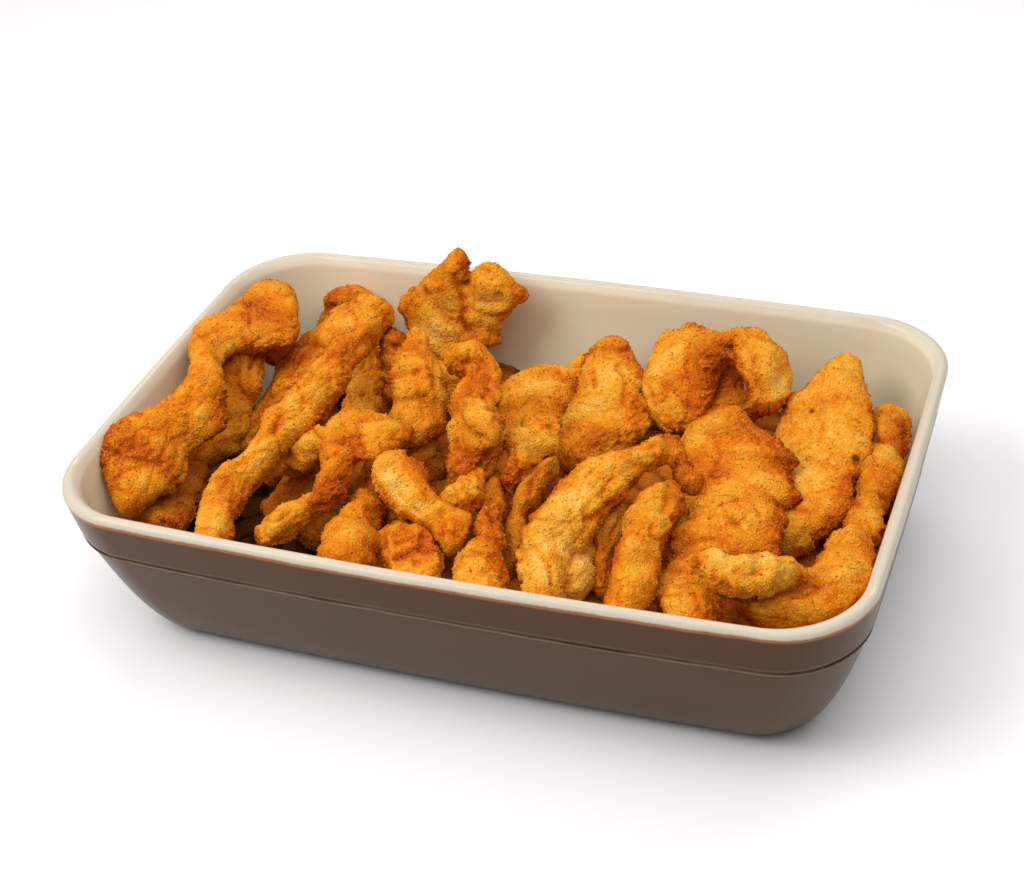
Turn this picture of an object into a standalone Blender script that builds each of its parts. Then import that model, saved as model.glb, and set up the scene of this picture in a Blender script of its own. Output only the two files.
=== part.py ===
"""A heap of fried breaded chicken pieces in a rectangular stoneware dish.

Lengths are in millimetres up to the point where a mesh is made. The origin is the
centre of the dish's base, +X runs along the long side and +Z is up.
"""
import math
from dataclasses import dataclass

import bmesh
import bpy
import numpy as np

MM = 0.001
OBJECT_NAME = "chicken_milanese"

# Dish: rounded rectangle, sides bowed out a little, wall flaring up to a rolled lip
HALF_LENGTH = 164.2
HALF_WIDTH = 103.9
LONG_SIDE_BOW = 4.4
SHORT_SIDE_BOW = 1.4
DISH_HEIGHT = 76.5
RIM_CORNER = 34.0
BASE_CORNER = 20.0
BASE_INSET = 31.0
LIP_RADIUS = 2.7
LEDGE_DROP = 22.0
BAND_TAPER = 3.0
LEDGE_STEP = 1.7
FLOOR_THICKNESS = 8.0
CORNER_STEPS = 6

# Fit between neighbours
GAP = 0.35

# Outline of a piece's cross-section and of its ends
EDGE_POWER = 0.85
FACE_POWER = 0.62
EDGE_THINNING = 0.45
SLIM_SHARE = 0.8
SLIM_BASE = 1.2
END_ROUNDING = 0.5
EDGE_WAVE = 0.14
FACE_LUMPS = 0.12
POINTS_AROUND = 10
RING_SPACING = 14.0

# Lower layer: heights of its top, rows from the far side to the near side
LAYER_X = (-140, -105, -70, -35, 0, 35, 70, 105, 140)
LAYER_Y = (90, 60, 30, 0, -30, -60, -90)
LAYER_TOP = (
    (28, 30, 32, 34, 26, 32, 36, 28, 24),
    (24, 30, 34, 34, 30, 38, 38, 34, 30),
    (20, 34, 36, 38, 32, 42, 42, 38, 36),
    (18, 24, 36, 44, 46, 42, 46, 44, 38),
    (18, 22, 24, 40, 48, 46, 50, 42, 38),
    (20, 22, 24, 38, 44, 48, 50, 46, 42),
    (28, 32, 36, 42, 46, 50, 50, 52, 46),
)
LAYER_RIDGE = 4.0
LAYER_RIDGE_PITCH = 31.0
LAYER_CELLS = (24, 16)

CRUST_COLOURS = ((0.62, 0.27, 0.06), (0.56, 0.22, 0.045), (0.66, 0.32, 0.09))
DISH_COLOUR = (0.60, 0.53, 0.43)


@dataclass(frozen=True)
class Piece:
    """One breaded piece.

    Each lobe is a row of stations. A station holds the two edge points of the piece,
    left x, y, z and right x, y, z. Lobes of one piece are fused.
    """

    thickness: float
    cup: float
    lobes: tuple


# From the top of the heap down: a piece gives way to those named before it
PIECES = {
    "forked_strip": Piece(13.5, 0, (
        ((-34, -16, 72, -34, -26, 72), (-44, -16, 75, -35, -34, 75), (-57, -16, 77, -42, -44, 77),
         (-68, -21, 77, -50, -46, 74), (-68, -36, 74, -50, -47, 70), (-65, -47, 70, -49, -53, 70),
         (-63, -57, 67, -52, -59, 67), (-71, -66, 64, -60, -72, 64), (-76, -74, 62, -66, -81, 62),
         (-82, -80, 59, -74, -86, 59)),
        ((-69, -24, 75, -59, -36, 75), (-81, -27, 69, -70, -38, 69), (-87, -30, 61, -77, -39, 61),
         (-90, -32, 55, -84, -38, 55)),
    )),
    "centre_curl": Piece(15.5, 0, (
        ((-26, 17, 84, -18, 21, 84), (-22, 5, 83, -11, 7, 83), (-23, -7, 81, -4, -3, 81),
         (-20, -18, 79, 2, -13, 79), (-16, -27, 76, 5, -22, 76), (-15, -32, 72, 5, -29, 72),
         (-16, -38, 66, -3, -37, 66), (-16, -41, 60, -9, -42, 60)),
        ((-37, 19, 84, -32, 11, 84), (-31, 24, 86, -26, 11, 86), (-22, 26, 87, -18, 13, 87),
         (-10, 16, 86, -14, 9, 86), (-4, 4, 83, -10, 1, 83), (-3, -7, 80, -9, -6, 80)),
        ((-13, -11, 85, -9, -8, 85), (-11, -22, 86, -1, -15, 86), (0, -32, 84, 5, -22, 84),
         (3, -31, 80, 6, -24, 80)),
    )),
    "top_finger": Piece(15.5, 0, (
        ((96, -75, 78, 99, -81, 78), (102, -75, 80, 106, -87, 80), (114, -73, 80, 119, -90, 80),
         (126, -69, 79, 130, -83, 79), (134, -68, 77, 136, -75, 77), (138, -70, 76, 140, -72, 76)),
    )),
    "front_fillet": Piece(16, 0, (
        ((64, -10, 80, 74, -17, 80), (55, -24, 82, 66, -31, 79), (43, -33, 82, 64, -41, 78),
         (36, -43, 79, 57, -55, 76), (33, -57, 76, 55, -66, 72), (29, -69, 73, 51, -73, 69),
         (31, -81, 69, 51, -81, 66), (38, -92, 65, 53, -90, 63), (41, -95, 60, 53, -94, 60)),
        ((40, -57, 62, 51, -52, 62), (43, -69, 62, 56, -64, 62), (45, -80, 61, 59, -74, 61),
         (47, -87, 60, 60, -85, 60)),
    )),
    "long_front": Piece(15.5, 0, (
        ((-81, 52, 77, -75, 45, 77), (-85, 35, 79, -76, 27, 79), (-89, 21, 80, -74, 10, 80),
         (-91, -2, 80, -71, -8, 80), (-96, -18, 78, -74, -24, 78), (-96, -33, 75, -81, -38, 75),
         (-98, -49, 72, -84, -51, 72), (-104, -63, 70, -86, -66, 70), (-103, -78, 69, -86, -80, 69),
         (-100, -90, 66, -84, -91, 66), (-99, -94, 62, -84, -94, 62)),
        ((-94, -21, 78, -84, -23, 78), (-92, -31, 71, -84, -32, 71), (-92, -40, 63, -85, -39, 63),
         (-93, -44, 56, -89, -46, 56)),
    )),
    "back_fan": Piece(13.5, 0, (
        ((-56, 95, 93, -53, 93, 93), (-63, 87, 88, -50, 84, 88), (-72, 88, 80, -49, 81, 80),
         (-81, 84, 71, -49, 77, 71), (-84, 82, 62, -50, 75, 62), (-78, 77, 53, -49, 71, 53),
         (-64, 67, 42, -42, 66, 42), (-59, 60, 32, -44, 59, 32)),
        ((-45, 94, 88, -36, 94, 88), (-50, 91, 84, -30, 91, 84), (-53, 85, 79, -23, 87, 79),
         (-55, 84, 70, -29, 84, 70), (-56, 79, 61, -35, 80, 61), (-59, 76, 51, -37, 76, 51)),
    )),
    "pale_hook": Piece(11, 0.22, (
        ((-39, -54, 80, -37, -43, 80), (-33, -61, 79, -27, -43, 79), (-28, -66, 76, -18, -48, 76),
         (-20, -69, 72, -11, -54, 72), (-10, -70, 68, -3, -55, 68), (-3, -77, 66, 4, -55, 66),
         (2, -81, 64, 7, -67, 64)),
    )),
    "arched_fillet": Piece(12.5, 0, (
        ((44, 41, 46, 34, 71, 57), (62, 37, 51, 42, 83, 68), (70, 44, 57, 53, 84, 73),
         (70, 56, 68, 66, 77, 76), (77, 56, 79, 78, 74, 80), (87, 45, 76, 90, 73, 78),
         (92, 38, 66, 100, 70, 72), (99, 39, 62, 105, 59, 65)),
    )),
    "front_bar": Piece(16, 0, (
        ((69, -33, 72, 80, -27, 72), (67, -45, 74, 83, -37, 74), (66, -62, 75, 84, -55, 75),
         (67, -76, 73, 84, -67, 73), (69, -88, 69, 85, -79, 69), (68, -92, 66, 86, -91, 66),
         (69, -94, 61, 86, -94, 61), (69, -93, 54, 83, -92, 54)),
    )),
    "long_right": Piece(15.5, 0, (
        ((116, 80, 66, 127, 84, 66), (112, 72, 65, 133, 70, 67), (106, 60, 63, 137, 50, 66),
         (101, 43, 57, 142, 29, 64), (102, 24, 54, 142, 13, 61), (107, 5, 51, 140, -6, 57),
         (106, -11, 48, 133, -19, 52), (107, -25, 44, 126, -27, 46)),
    )),
    "left_twist": Piece(15.5, 0, (
        ((-142, 78, 68, -128, 65, 68), (-149, 79, 71, -119, 50, 71), (-152, 70, 74, -117, 33, 74),
         (-153, 54, 76, -124, 23, 76), (-156, 33, 77, -134, 17, 77), (-153, 14, 77, -135, 7, 77),
         (-145, -2, 76, -127, -8, 76), (-148, -15, 74, -125, -14, 69), (-152, -28, 74, -123, -26, 65),
         (-157, -42, 75, -128, -36, 60), (-158, -55, 74, -127, -49, 56),
         (-156, -63, 64, -132, -59, 55), (-153, -67, 54, -138, -64, 51),
         (-151, -67, 47, -141, -68, 46)),
        ((-131, 51, 67, -122, 57, 67), (-133, 44, 63, -121, 48, 63), (-133, 35, 59, -124, 37, 59)),
    )),
    "big_plate": Piece(14.5, 0, (
        ((76, 25, 71, 90, 28, 71), (71, 13, 70, 101, 21, 70), (69, 3, 67, 113, 11, 67),
         (72, -9, 64, 118, 1, 64), (75, -21, 61, 122, -8, 61), (76, -30, 56, 119, -13, 56),
         (80, -35, 51, 113, -23, 51)),
    )),
    "tall_mid": Piece(16, 0, (
        ((12, 81, 62, 23, 85, 62), (9, 74, 59, 30, 75, 59), (8, 57, 56, 38, 62, 56),
         (10, 43, 53, 43, 48, 53), (10, 26, 50, 45, 30, 50), (11, 16, 45, 40, 17, 45),
         (16, 9, 41, 35, 10, 41)),
    )),
    "centre_strip": Piece(16, 0, (
        ((-62, 47, 76, -55, 48, 76), (-64, 34, 75, -48, 37, 75), (-61, 19, 72, -37, 21, 72),
         (-58, 7, 67, -33, 13, 67), (-54, 0, 60, -33, 3, 60), (-50, -3, 53, -39, -3, 53)),
    )),
    "low_left_drum": Piece(17, 0, (
        ((-61, -21, 52, -51, -22, 52), (-53, -44, 57, -41, -43, 57), (-48, -62, 62, -33, -61, 62),
         (-48, -78, 66, -27, -78, 66), (-46, -92, 67, -23, -91, 67), (-41, -99, 65, -24, -99, 65)),
    )),
    "nugget": Piece(13.5, 0, (
        ((-2, -34, 69, 4, -40, 69), (-6, -42, 71, 7, -53, 71), (-9, -49, 70, 0, -58, 70),
         (-12, -50, 67, -7, -54, 67)),
    )),
    "low_right_nub": Piece(15.5, 0, (
        ((-5, -20, 59, 4, -22, 59), (2, -43, 63, 13, -43, 63), (7, -60, 65, 18, -59, 65),
         (12, -74, 67, 25, -76, 67), (9, -85, 68, 30, -87, 68), (11, -94, 65, 31, -94, 65),
         (13, -97, 61, 30, -96, 61)),
    )),
    "far_right_lower": Piece(16, 0, (
        ((141, -26, 62, 154, -29, 62), (139, -43, 65, 158, -46, 65), (134, -58, 66, 158, -64, 66),
         (124, -70, 64, 149, -76, 64), (111, -78, 60, 129, -83, 60)),
    )),
    "far_right_upper": Piece(15.5, 0, (
        ((134, 64, 53, 152, 64, 53), (138, 41, 56, 154, 41, 56), (141, 18, 59, 156, 19, 59),
         (142, -4, 61, 156, -2, 61), (141, -19, 62, 157, -17, 62), (142, -30, 60, 156, -30, 60)),
    )),
    "mid_front_fold": Piece(14.5, 0, (
        ((14, 5, 71, 25, -4, 71), (6, -6, 74, 27, -15, 70), (4, -19, 74, 20, -22, 69),
         (6, -26, 69, 18, -29, 66), (9, -30, 60, 15, -32, 58)),
    )),
    "plate_mid": Piece(14.5, 0, (
        ((86, -19, 62, 112, -13, 62), (83, -34, 66, 120, -27, 66), (83, -47, 67, 124, -41, 67),
         (82, -56, 65, 121, -50, 65), (83, -58, 60, 112, -53, 60)),
    )),
    "long_back": Piece(15.5, 0, (
        ((-90, 82, 67, -81, 72, 67), (-108, 78, 65, -85, 61, 65), (-119, 63, 61, -94, 49, 61),
         (-127, 50, 55, -100, 35, 55), (-128, 30, 49, -107, 22, 49), (-132, 13, 41, -116, 8, 41),
         (-135, 1, 33, -122, -2, 33)),
    )),
    "mid_back": Piece(15.5, 0, (
        ((-27, 69, 45, 1, 78, 45), (-26, 48, 47, 8, 61, 47), (-20, 34, 46, 9, 42, 46),
         (-15, 24, 39, 6, 32, 39)),
    )),
    "front_low": Piece(14.5, 0, (
        ((89, -80, 64, 90, -91, 64), (95, -77, 67, 102, -96, 67), (103, -78, 68, 110, -92, 68),
         (114, -79, 69, 114, -84, 69), (123, -75, 69, 122, -80, 69)),
    )),
    "low_mid": Piece(11.5, 0, (
        ((-32, -74, 60, -24, -86, 60), (-28, -65, 62, -16, -89, 62), (-17, -62, 63, -7, -86, 63),
         (-7, -66, 62, -3, -78, 62)),
        ((-22, -83, 61, -16, -93, 61), (-14, -78, 62, -6, -96, 62), (-6, -75, 63, 3, -96, 63),
         (0, -76, 62, 4, -89, 62)),
    )),
    "plate_low": Piece(14.5, 0, (
        ((91, -50, 62, 108, -49, 62), (83, -60, 62, 108, -62, 62), (81, -73, 60, 102, -75, 60),
         (82, -80, 57, 98, -81, 57)),
    )),
    "mid_strip": Piece(14.5, 0, (
        ((-95, 54, 65, -82, 54, 65), (-92, 40, 60, -77, 43, 60), (-89, 26, 54, -71, 29, 54),
         (-87, 15, 47, -68, 18, 47), (-82, 8, 38, -70, 9, 38)),
    )),
    "red_tip": Piece(11.5, 0, (
        ((58, 3, 61, 62, 21, 61), (68, -5, 66, 71, 8, 66), (75, -18, 68, 78, -8, 68),
         (82, -24, 68, 86, -19, 68)),
    )),
    "back_left_nub": Piece(14.5, 0, (
        ((-119, 93, 67, -107, 95, 67), (-125, 91, 62, -99, 92, 62), (-129, 89, 54, -100, 92, 54),
         (-129, 84, 48, -102, 88, 48), (-128, 82, 38, -106, 84, 38), (-126, 79, 29, -109, 81, 29)),
    )),
    "back_mid_strip": Piece(13.5, 0, (
        ((-90, 76, 59, -78, 72, 59), (-89, 66, 52, -75, 67, 52), (-86, 54, 45, -74, 53, 45),
         (-81, 44, 38, -71, 43, 38)),
    )),
    "fillet_under": Piece(14.5, 0, (
        ((54, -39, 67, 61, -32, 67), (52, -54, 64, 62, -46, 64), (54, -63, 60, 62, -59, 60),
         (58, -77, 56, 65, -77, 56)),
    )),
    "strip_under_fold": Piece(13.5, 0, (
        ((18, -20, 66, 26, -8, 66), (13, -37, 62, 25, -28, 62), (16, -56, 57, 21, -45, 57),
         (22, -73, 52, 24, -59, 52)),
    )),
    "forked_under": Piece(13.5, 0, (
        ((-86, -20, 51, -73, -27, 51), (-93, -31, 47, -73, -36, 47), (-97, -42, 42, -79, -44, 42),
         (-95, -47, 38, -83, -54, 38)),
    )),
    "left_under": Piece(15.5, 0, (
        ((-164, -2, 33, -140, -8, 33), (-160, -32, 36, -133, -33, 36), (-153, -56, 41, -124, -57, 41),
         (-143, -68, 43, -124, -68, 43)),
    )),
    "left_fold": Piece(12.5, 0, (
        ((-150, 34, 67, -129, 37, 67), (-146, 19, 61, -125, 21, 61), (-145, 9, 52, -125, 8, 52),
         (-146, -1, 41, -128, -3, 41), (-152, -5, 29, -136, -7, 29)),
    )),
    "middle_under": Piece(12.5, 0, (
        ((-48, -3, 54, -38, 9, 54), (-42, -10, 47, -30, -4, 47), (-35, -18, 40, -28, -16, 40)),
    )),
    "back_sliver": Piece(11.5, 0, (
        ((4, 80, 54, 12, 86, 54), (-2, 75, 50, 13, 77, 50), (-3, 69, 45, 12, 66, 45)),
    )),
    "under_arch": Piece(12.5, 0, (
        ((68, 76, 60, 77, 79, 60), (69, 60, 57, 83, 65, 57), (69, 49, 54, 90, 54, 54),
         (72, 38, 50, 93, 43, 50)),
    )),
    "front_left_under": Piece(13.5, 0, (
        ((-77, -22, 36, -63, -26, 36), (-83, -32, 32, -66, -35, 32), (-86, -43, 28, -70, -49, 28)),
    )),
    "right_under": Piece(13.5, 0, (
        ((132, -52, 56, 133, -65, 56), (122, -57, 56, 123, -71, 56), (114, -61, 54, 117, -70, 54)),
    )),
    "low_back_nub": Piece(12.5, 0, (
        ((-37, -50, 58, -30, -45, 58), (-35, -56, 56, -23, -52, 56), (-33, -59, 52, -20, -59, 52)),
    )),
}


def smooth_path(at, knots, values):
    """Read a smooth curve through the values at the knots."""
    slopes = np.gradient(values, knots, axis=0)
    cell = np.clip(np.searchsorted(knots, at, side="right") - 1, 0, len(knots) - 2)
    width = (knots[cell + 1] - knots[cell])[:, None]
    s = (at[:, None] - knots[cell][:, None]) / width
    return ((2 * s**3 - 3 * s**2 + 1) * values[cell]
            + (s**3 - 2 * s**2 + s) * width * slopes[cell]
            + (3 * s**2 - 2 * s**3) * values[cell + 1]
            + (s**3 - s**2) * width * slopes[cell + 1])


def unit(vectors):
    """Scale each row to length one."""
    return vectors / np.maximum(np.linalg.norm(vectors, axis=1), 1e-6)[:, None]


def waves(at, phases):
    """Sum three sines of rising frequency along a piece, for an uneven edge."""
    return (np.sin(2 * np.pi * at[:, None] * (2.3, 4.1, 6.7) + phases) * (0.55, 0.35, 0.2)).sum(1)


def strip_rings(stations, thickness, cup, seed):
    """Lay rings round a breaded strip.

    The strip's middle runs between its two edges. Its section is a flattened oval,
    thinner at the edges and where the strip is narrow, that shrinks to a point over
    both ends.
    """
    stations = np.array(stations, dtype=float)
    left, right = stations[:, :3], stations[:, 3:]
    steps = np.linalg.norm(np.diff((left + right) / 2, axis=0), axis=1)
    length = steps.sum()
    knots = np.concatenate(([0.0], np.cumsum(steps))) / length
    count = int(np.clip(6 + round(length / RING_SPACING), 8, 15))
    even = np.linspace(0, 1, count)
    u = 0.65 * even + 0.35 * (0.5 - 0.5 * np.cos(np.pi * even))
    edge_a = smooth_path(u, knots, left)
    edge_b = smooth_path(u, knots, right)
    middle = (edge_a + edge_b) / 2
    half = (edge_b - edge_a) / 2
    width = np.linalg.norm(half, axis=1)
    along = unit(np.gradient(middle, u, axis=0))
    normal = unit(np.cross(along, half / width[:, None]))

    start = min(0.45, END_ROUNDING * width[:3].mean() / length + 0.02)
    end = min(0.45, END_ROUNDING * width[-3:].mean() / length + 0.02)
    nearest = np.minimum(np.minimum(u / start, (1 - u) / end), 1)
    cap = np.sqrt(np.clip(1 - (1 - nearest) ** 2, 0, 1))

    rng = np.random.default_rng(seed)
    phases = rng.uniform(0, 2 * np.pi, (2, 3))
    lump_phase = rng.uniform(0, 2 * np.pi, 2)
    phi = np.linspace(0, 2 * np.pi, POINTS_AROUND, endpoint=False)
    across = np.sign(np.cos(phi)) * np.abs(np.cos(phi)) ** EDGE_POWER
    up = np.sign(np.sin(phi)) * np.abs(np.sin(phi)) ** FACE_POWER
    wave = np.where(across < 0, waves(u, phases[0])[:, None], waves(u, phases[1])[:, None])
    sideways = across * (1 + EDGE_WAVE * wave) * cap[:, None]
    lumps = 1 + FACE_LUMPS * (np.sin(2 * np.pi * 3.1 * u[:, None] + lump_phase[0] + 2 * across)
                              + np.sin(2 * np.pi * 5.3 * u[:, None] + lump_phase[1] - 1.5 * across))
    half_depth = np.minimum(thickness / 2, SLIM_SHARE * width + SLIM_BASE)[:, None]
    depth = half_depth * (1 - EDGE_THINNING * np.abs(across) ** 2.2)
    lift = up * depth * lumps * cap[:, None] ** 0.7
    lift = lift + cup * width[:, None] * (across**2 - 0.35) * cap[:, None]
    return (middle[:, None] + sideways[..., None] * half[:, None] + lift[..., None] * normal[:, None])


def loft(name, rings, collection):
    """Join rings of equal size into one closed mesh, the first and last ring as its ends."""
    bm = bmesh.new()
    loops = [[bm.verts.new(point) for point in ring] for ring in np.asarray(rings) * MM]
    size = len(loops[0])
    for lower, upper in zip(loops, loops[1:]):
        for j in range(size):
            k = (j + 1) % size
            bm.faces.new((lower[j], lower[k], upper[k], upper[j]))
    bm.faces.new(loops[0][::-1])
    bm.faces.new(loops[-1])
    bmesh.ops.remove_doubles(bm, verts=bm.verts, dist=1e-6)
    bmesh.ops.recalc_face_normals(bm, faces=bm.faces)
    bmesh.ops.triangulate(bm, faces=bm.faces)
    return object_from(name, bm, collection)


def object_from(name, bm, collection):
    """Make an object of a bmesh and link it to a collection."""
    mesh = bpy.data.meshes.new(name)
    bm.to_mesh(mesh)
    bm.free()
    obj = bpy.data.objects.new(name, mesh)
    collection.objects.link(obj)
    return obj


def combine(obj, others, operation):
    """Fuse others with obj, or cut them from it, and keep its largest body."""
    for other in others:
        boolean = obj.modifiers.new(other.name, "BOOLEAN")
        boolean.operation = operation
        boolean.solver = "EXACT"
        boolean.object = other
    depsgraph = bpy.context.evaluated_depsgraph_get()
    result = bpy.data.meshes.new_from_object(obj.evaluated_get(depsgraph))
    obj.modifiers.clear()
    old = obj.data
    obj.data = result
    bpy.data.meshes.remove(old)
    keep_largest_body(obj)


def keep_largest_body(obj):
    """Drop scraps that a cut has left loose."""
    bm = bmesh.new()
    bm.from_mesh(obj.data)
    bmesh.ops.dissolve_degenerate(bm, edges=bm.edges, dist=2e-5)
    left = set(bm.faces)
    bodies = []
    while left:
        body = {left.pop()}
        front = list(body)
        while front:
            face = front.pop()
            for edge in face.edges:
                for neighbour in edge.link_faces:
                    if neighbour in left:
                        left.remove(neighbour)
                        body.add(neighbour)
                        front.append(neighbour)
        bodies.append(body)
    bodies.sort(key=lambda faces: sum(face.calc_area() for face in faces))
    scraps = [face for body in bodies[:-1] for face in body]
    bmesh.ops.delete(bm, geom=scraps, context="FACES")
    bmesh.ops.triangulate(bm, faces=bm.faces)
    bm.to_mesh(obj.data)
    bm.free()


def grown_copy(obj, collection):
    """Copy an object with its surface moved out by the gap, as a cutter for its neighbours."""
    bm = bmesh.new()
    bm.from_mesh(obj.data)
    bm.normal_update()
    offsets = [vert.normal * (GAP * MM) for vert in bm.verts]
    for vert, offset in zip(bm.verts, offsets):
        vert.co += offset
    cutter = object_from(obj.name + "_cutter", bm, collection)
    cutter.hide_render = True
    cutter.display_type = "WIRE"
    return cutter


def boxes_meet(first, second):
    """Tell whether two objects' bounding boxes overlap."""
    a = np.array([corner[:] for corner in first.bound_box])
    b = np.array([corner[:] for corner in second.bound_box])
    return bool((a.min(0) < b.max(0)).all() and (b.min(0) < a.max(0)).all())


def wall_law(s):
    """Share of the wall's total inset at the share s of its depth, steep above and round below."""
    return 0.553 * s + 0.447 * (1 - (1 - s**2.9) ** (1 / 2.9))


def dish_outline(inset, height):
    """Points of the dish's outline, moved in from the rim by the inset."""
    a = HALF_LENGTH - inset
    b = HALF_WIDTH - inset
    corner = RIM_CORNER - (RIM_CORNER - BASE_CORNER) * inset / BASE_INSET
    quarter = np.linspace(0, np.pi / 2, CORNER_STEPS + 1)
    arc = np.column_stack((a - corner + corner * np.cos(quarter), b - corner + corner * np.sin(quarter)))
    long_side = np.array([(share * (a - corner), b) for share in (0.5, 0.0, -0.5)])
    half = np.vstack((arc, long_side, arc[::-1] * (-1, 1), [(-a, 0)]))
    ring = np.vstack((half, -half))
    x = ring[:, 0] * (1 + SHORT_SIDE_BOW / HALF_LENGTH * (1 - (ring[:, 1] / HALF_WIDTH) ** 2))
    y = ring[:, 1] * (1 + LONG_SIDE_BOW / HALF_WIDTH * (1 - (ring[:, 0] / HALF_LENGTH) ** 2))
    return np.column_stack((x, y, np.full(len(ring), height)))


def inner_wall(wall=0.0):
    """Profile of the inside, from below the lip to the floor, as (inset, height)."""
    top = DISH_HEIGHT - 2 * LIP_RADIUS
    depth = top - FLOOR_THICKNESS
    drops = (0.0, 0.25, 0.5, 0.72, 0.87, 0.96, 1.0)
    return [(2 * LIP_RADIUS + wall + 26.0 * wall_law(s), top - (depth - wall) * s) for s in drops]


def outer_wall():
    """Profile of the outside, from the base up to the lip, as (inset, height)."""
    ledge = DISH_HEIGHT - LEDGE_DROP
    step = BAND_TAPER + LEDGE_STEP
    drops = (1.0, 0.94, 0.83, 0.65, 0.42, 0.2, 0.0)
    body = [(step + (BASE_INSET - step) * wall_law(s), (ledge - 0.8) * (1 - s)) for s in drops]
    return body + [(BAND_TAPER, ledge), (0.0, DISH_HEIGHT - LIP_RADIUS)]


def make_dish(collection):
    """Loft the dish: up the outside, over the lip, down the inside."""
    lip = [(LIP_RADIUS - LIP_RADIUS * math.cos(math.radians(turn)),
            DISH_HEIGHT - LIP_RADIUS + LIP_RADIUS * math.sin(math.radians(turn)))
           for turn in (35, 65, 90, 115, 145, 180)]
    profile = outer_wall() + lip + inner_wall()[1:]
    return loft("dish", [dish_outline(inset, height) for inset, height in profile], collection)


def layer_height(x, y):
    """Height of the lower layer's top: the grid of heights, with ridges like strips lying askew."""
    columns = np.array([np.interp(x, LAYER_X, row) for row in LAYER_TOP])
    base = np.interp(-y, [-row for row in LAYER_Y], columns)
    lane = (0.75 * x + 0.66 * y) / LAYER_RIDGE_PITCH + 0.35 * math.sin(y / 26) + 0.2 * math.sin(x / 19)
    ridge = math.sqrt(abs(math.sin(math.pi * lane)))
    return base + LAYER_RIDGE * (ridge - 0.7) + 1.2 * math.sin(x / 9 + 1.3 * math.sin(y / 14))


def make_lower_layer(collection):
    """Fill the dish's lower part with one uneven layer, fitted to its inside."""
    bm = bmesh.new()
    cells_x, cells_y = LAYER_CELLS
    bmesh.ops.create_grid(bm, x_segments=cells_x, y_segments=cells_y, size=1.0)
    for vert in bm.verts:
        x = vert.co.x * 1.02 * HALF_LENGTH
        y = vert.co.y * 1.06 * HALF_WIDTH
        vert.co = (x * MM, y * MM, layer_height(x, y) * MM)
    top = list(bm.faces)
    extruded = bmesh.ops.extrude_face_region(bm, geom=top)
    for item in extruded["geom"]:
        if isinstance(item, bmesh.types.BMVert):
            item.co.z = 0.0
    low = [item for item in extruded["geom"] if isinstance(item, bmesh.types.BMFace)]
    bmesh.ops.dissolve_faces(bm, faces=low)
    bmesh.ops.recalc_face_normals(bm, faces=bm.faces)
    bmesh.ops.triangulate(bm, faces=bm.faces)
    layer = object_from("lower_layer", bm, collection)
    inside = [dish_outline(inset, height) for inset, height in inner_wall(GAP)[::-1]]
    cavity = loft("lower_layer_cavity", inside, collection)
    combine(layer, [cavity], "INTERSECT")
    bpy.data.objects.remove(cavity)
    return layer


def make_piece(name, piece, seed, collection, cutters):
    """Loft each lobe of a piece and fuse them. Give the piece and its lobes' cutters."""
    lobes = [loft(f"{name}_{index}", strip_rings(stations, piece.thickness, piece.cup, 7 * seed + index),
                  collection) for index, stations in enumerate(piece.lobes)]
    tools = [grown_copy(lobe, cutters) for lobe in lobes]
    body = lobes[0]
    body.name = name
    if len(lobes) > 1:
        combine(body, lobes[1:], "UNION")
        for lobe in lobes[1:]:
            bpy.data.objects.remove(lobe)
    return body, tools


def finish(obj, colour, roughness):
    """Give an object its own material and smooth shading."""
    material = bpy.data.materials.new(obj.name)
    material.use_nodes = True
    shader = material.node_tree.nodes["Principled BSDF"]
    shader.inputs["Base Color"].default_value = (*colour, 1.0)
    shader.inputs["Roughness"].default_value = roughness
    shader.inputs["Metallic"].default_value = 0.0
    obj.data.materials.clear()
    obj.data.materials.append(material)
    obj.data.shade_smooth()
    obj.data.set_sharp_from_angle(angle=math.radians(40))


def main():
    """Build the dish, the lower layer and every piece, each cut clear of its neighbours."""
    for obj in list(bpy.data.objects):
        bpy.data.objects.remove(obj)
    scene = bpy.context.scene
    collection = bpy.data.collections.new(OBJECT_NAME)
    cutters = bpy.data.collections.new("cutters")
    scene.collection.children.link(collection)
    scene.collection.children.link(cutters)

    dish = make_dish(collection)
    layer = make_lower_layer(collection)
    tools = [grown_copy(dish, cutters), grown_copy(layer, cutters)]
    for seed, (name, piece) in enumerate(PIECES.items()):
        body, own_tools = make_piece(name, piece, seed, collection, cutters)
        bpy.context.view_layer.update()
        meeting = [other for other in tools if boxes_meet(body, other)]
        if meeting:
            combine(body, meeting, "DIFFERENCE")
        tools.extend(own_tools)
        finish(body, CRUST_COLOURS[seed % len(CRUST_COLOURS)], 0.6)
    for tool in tools:
        bpy.data.objects.remove(tool)
    finish(layer, CRUST_COLOURS[1], 0.6)
    finish(dish, DISH_COLOUR, 0.25)


main()
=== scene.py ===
"""Dress the heap of fried breaded chicken and its stoneware dish for the render.

Shapes are worked out in millimetres in the part's own frame (origin at the centre of the
dish's base, +X along the long side, +Z up) and written to meshes in metres.
"""

import logging
from dataclasses import dataclass, replace
from enum import Enum
from functools import partial

import bpy
import numpy as np
from mathutils import Matrix


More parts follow.
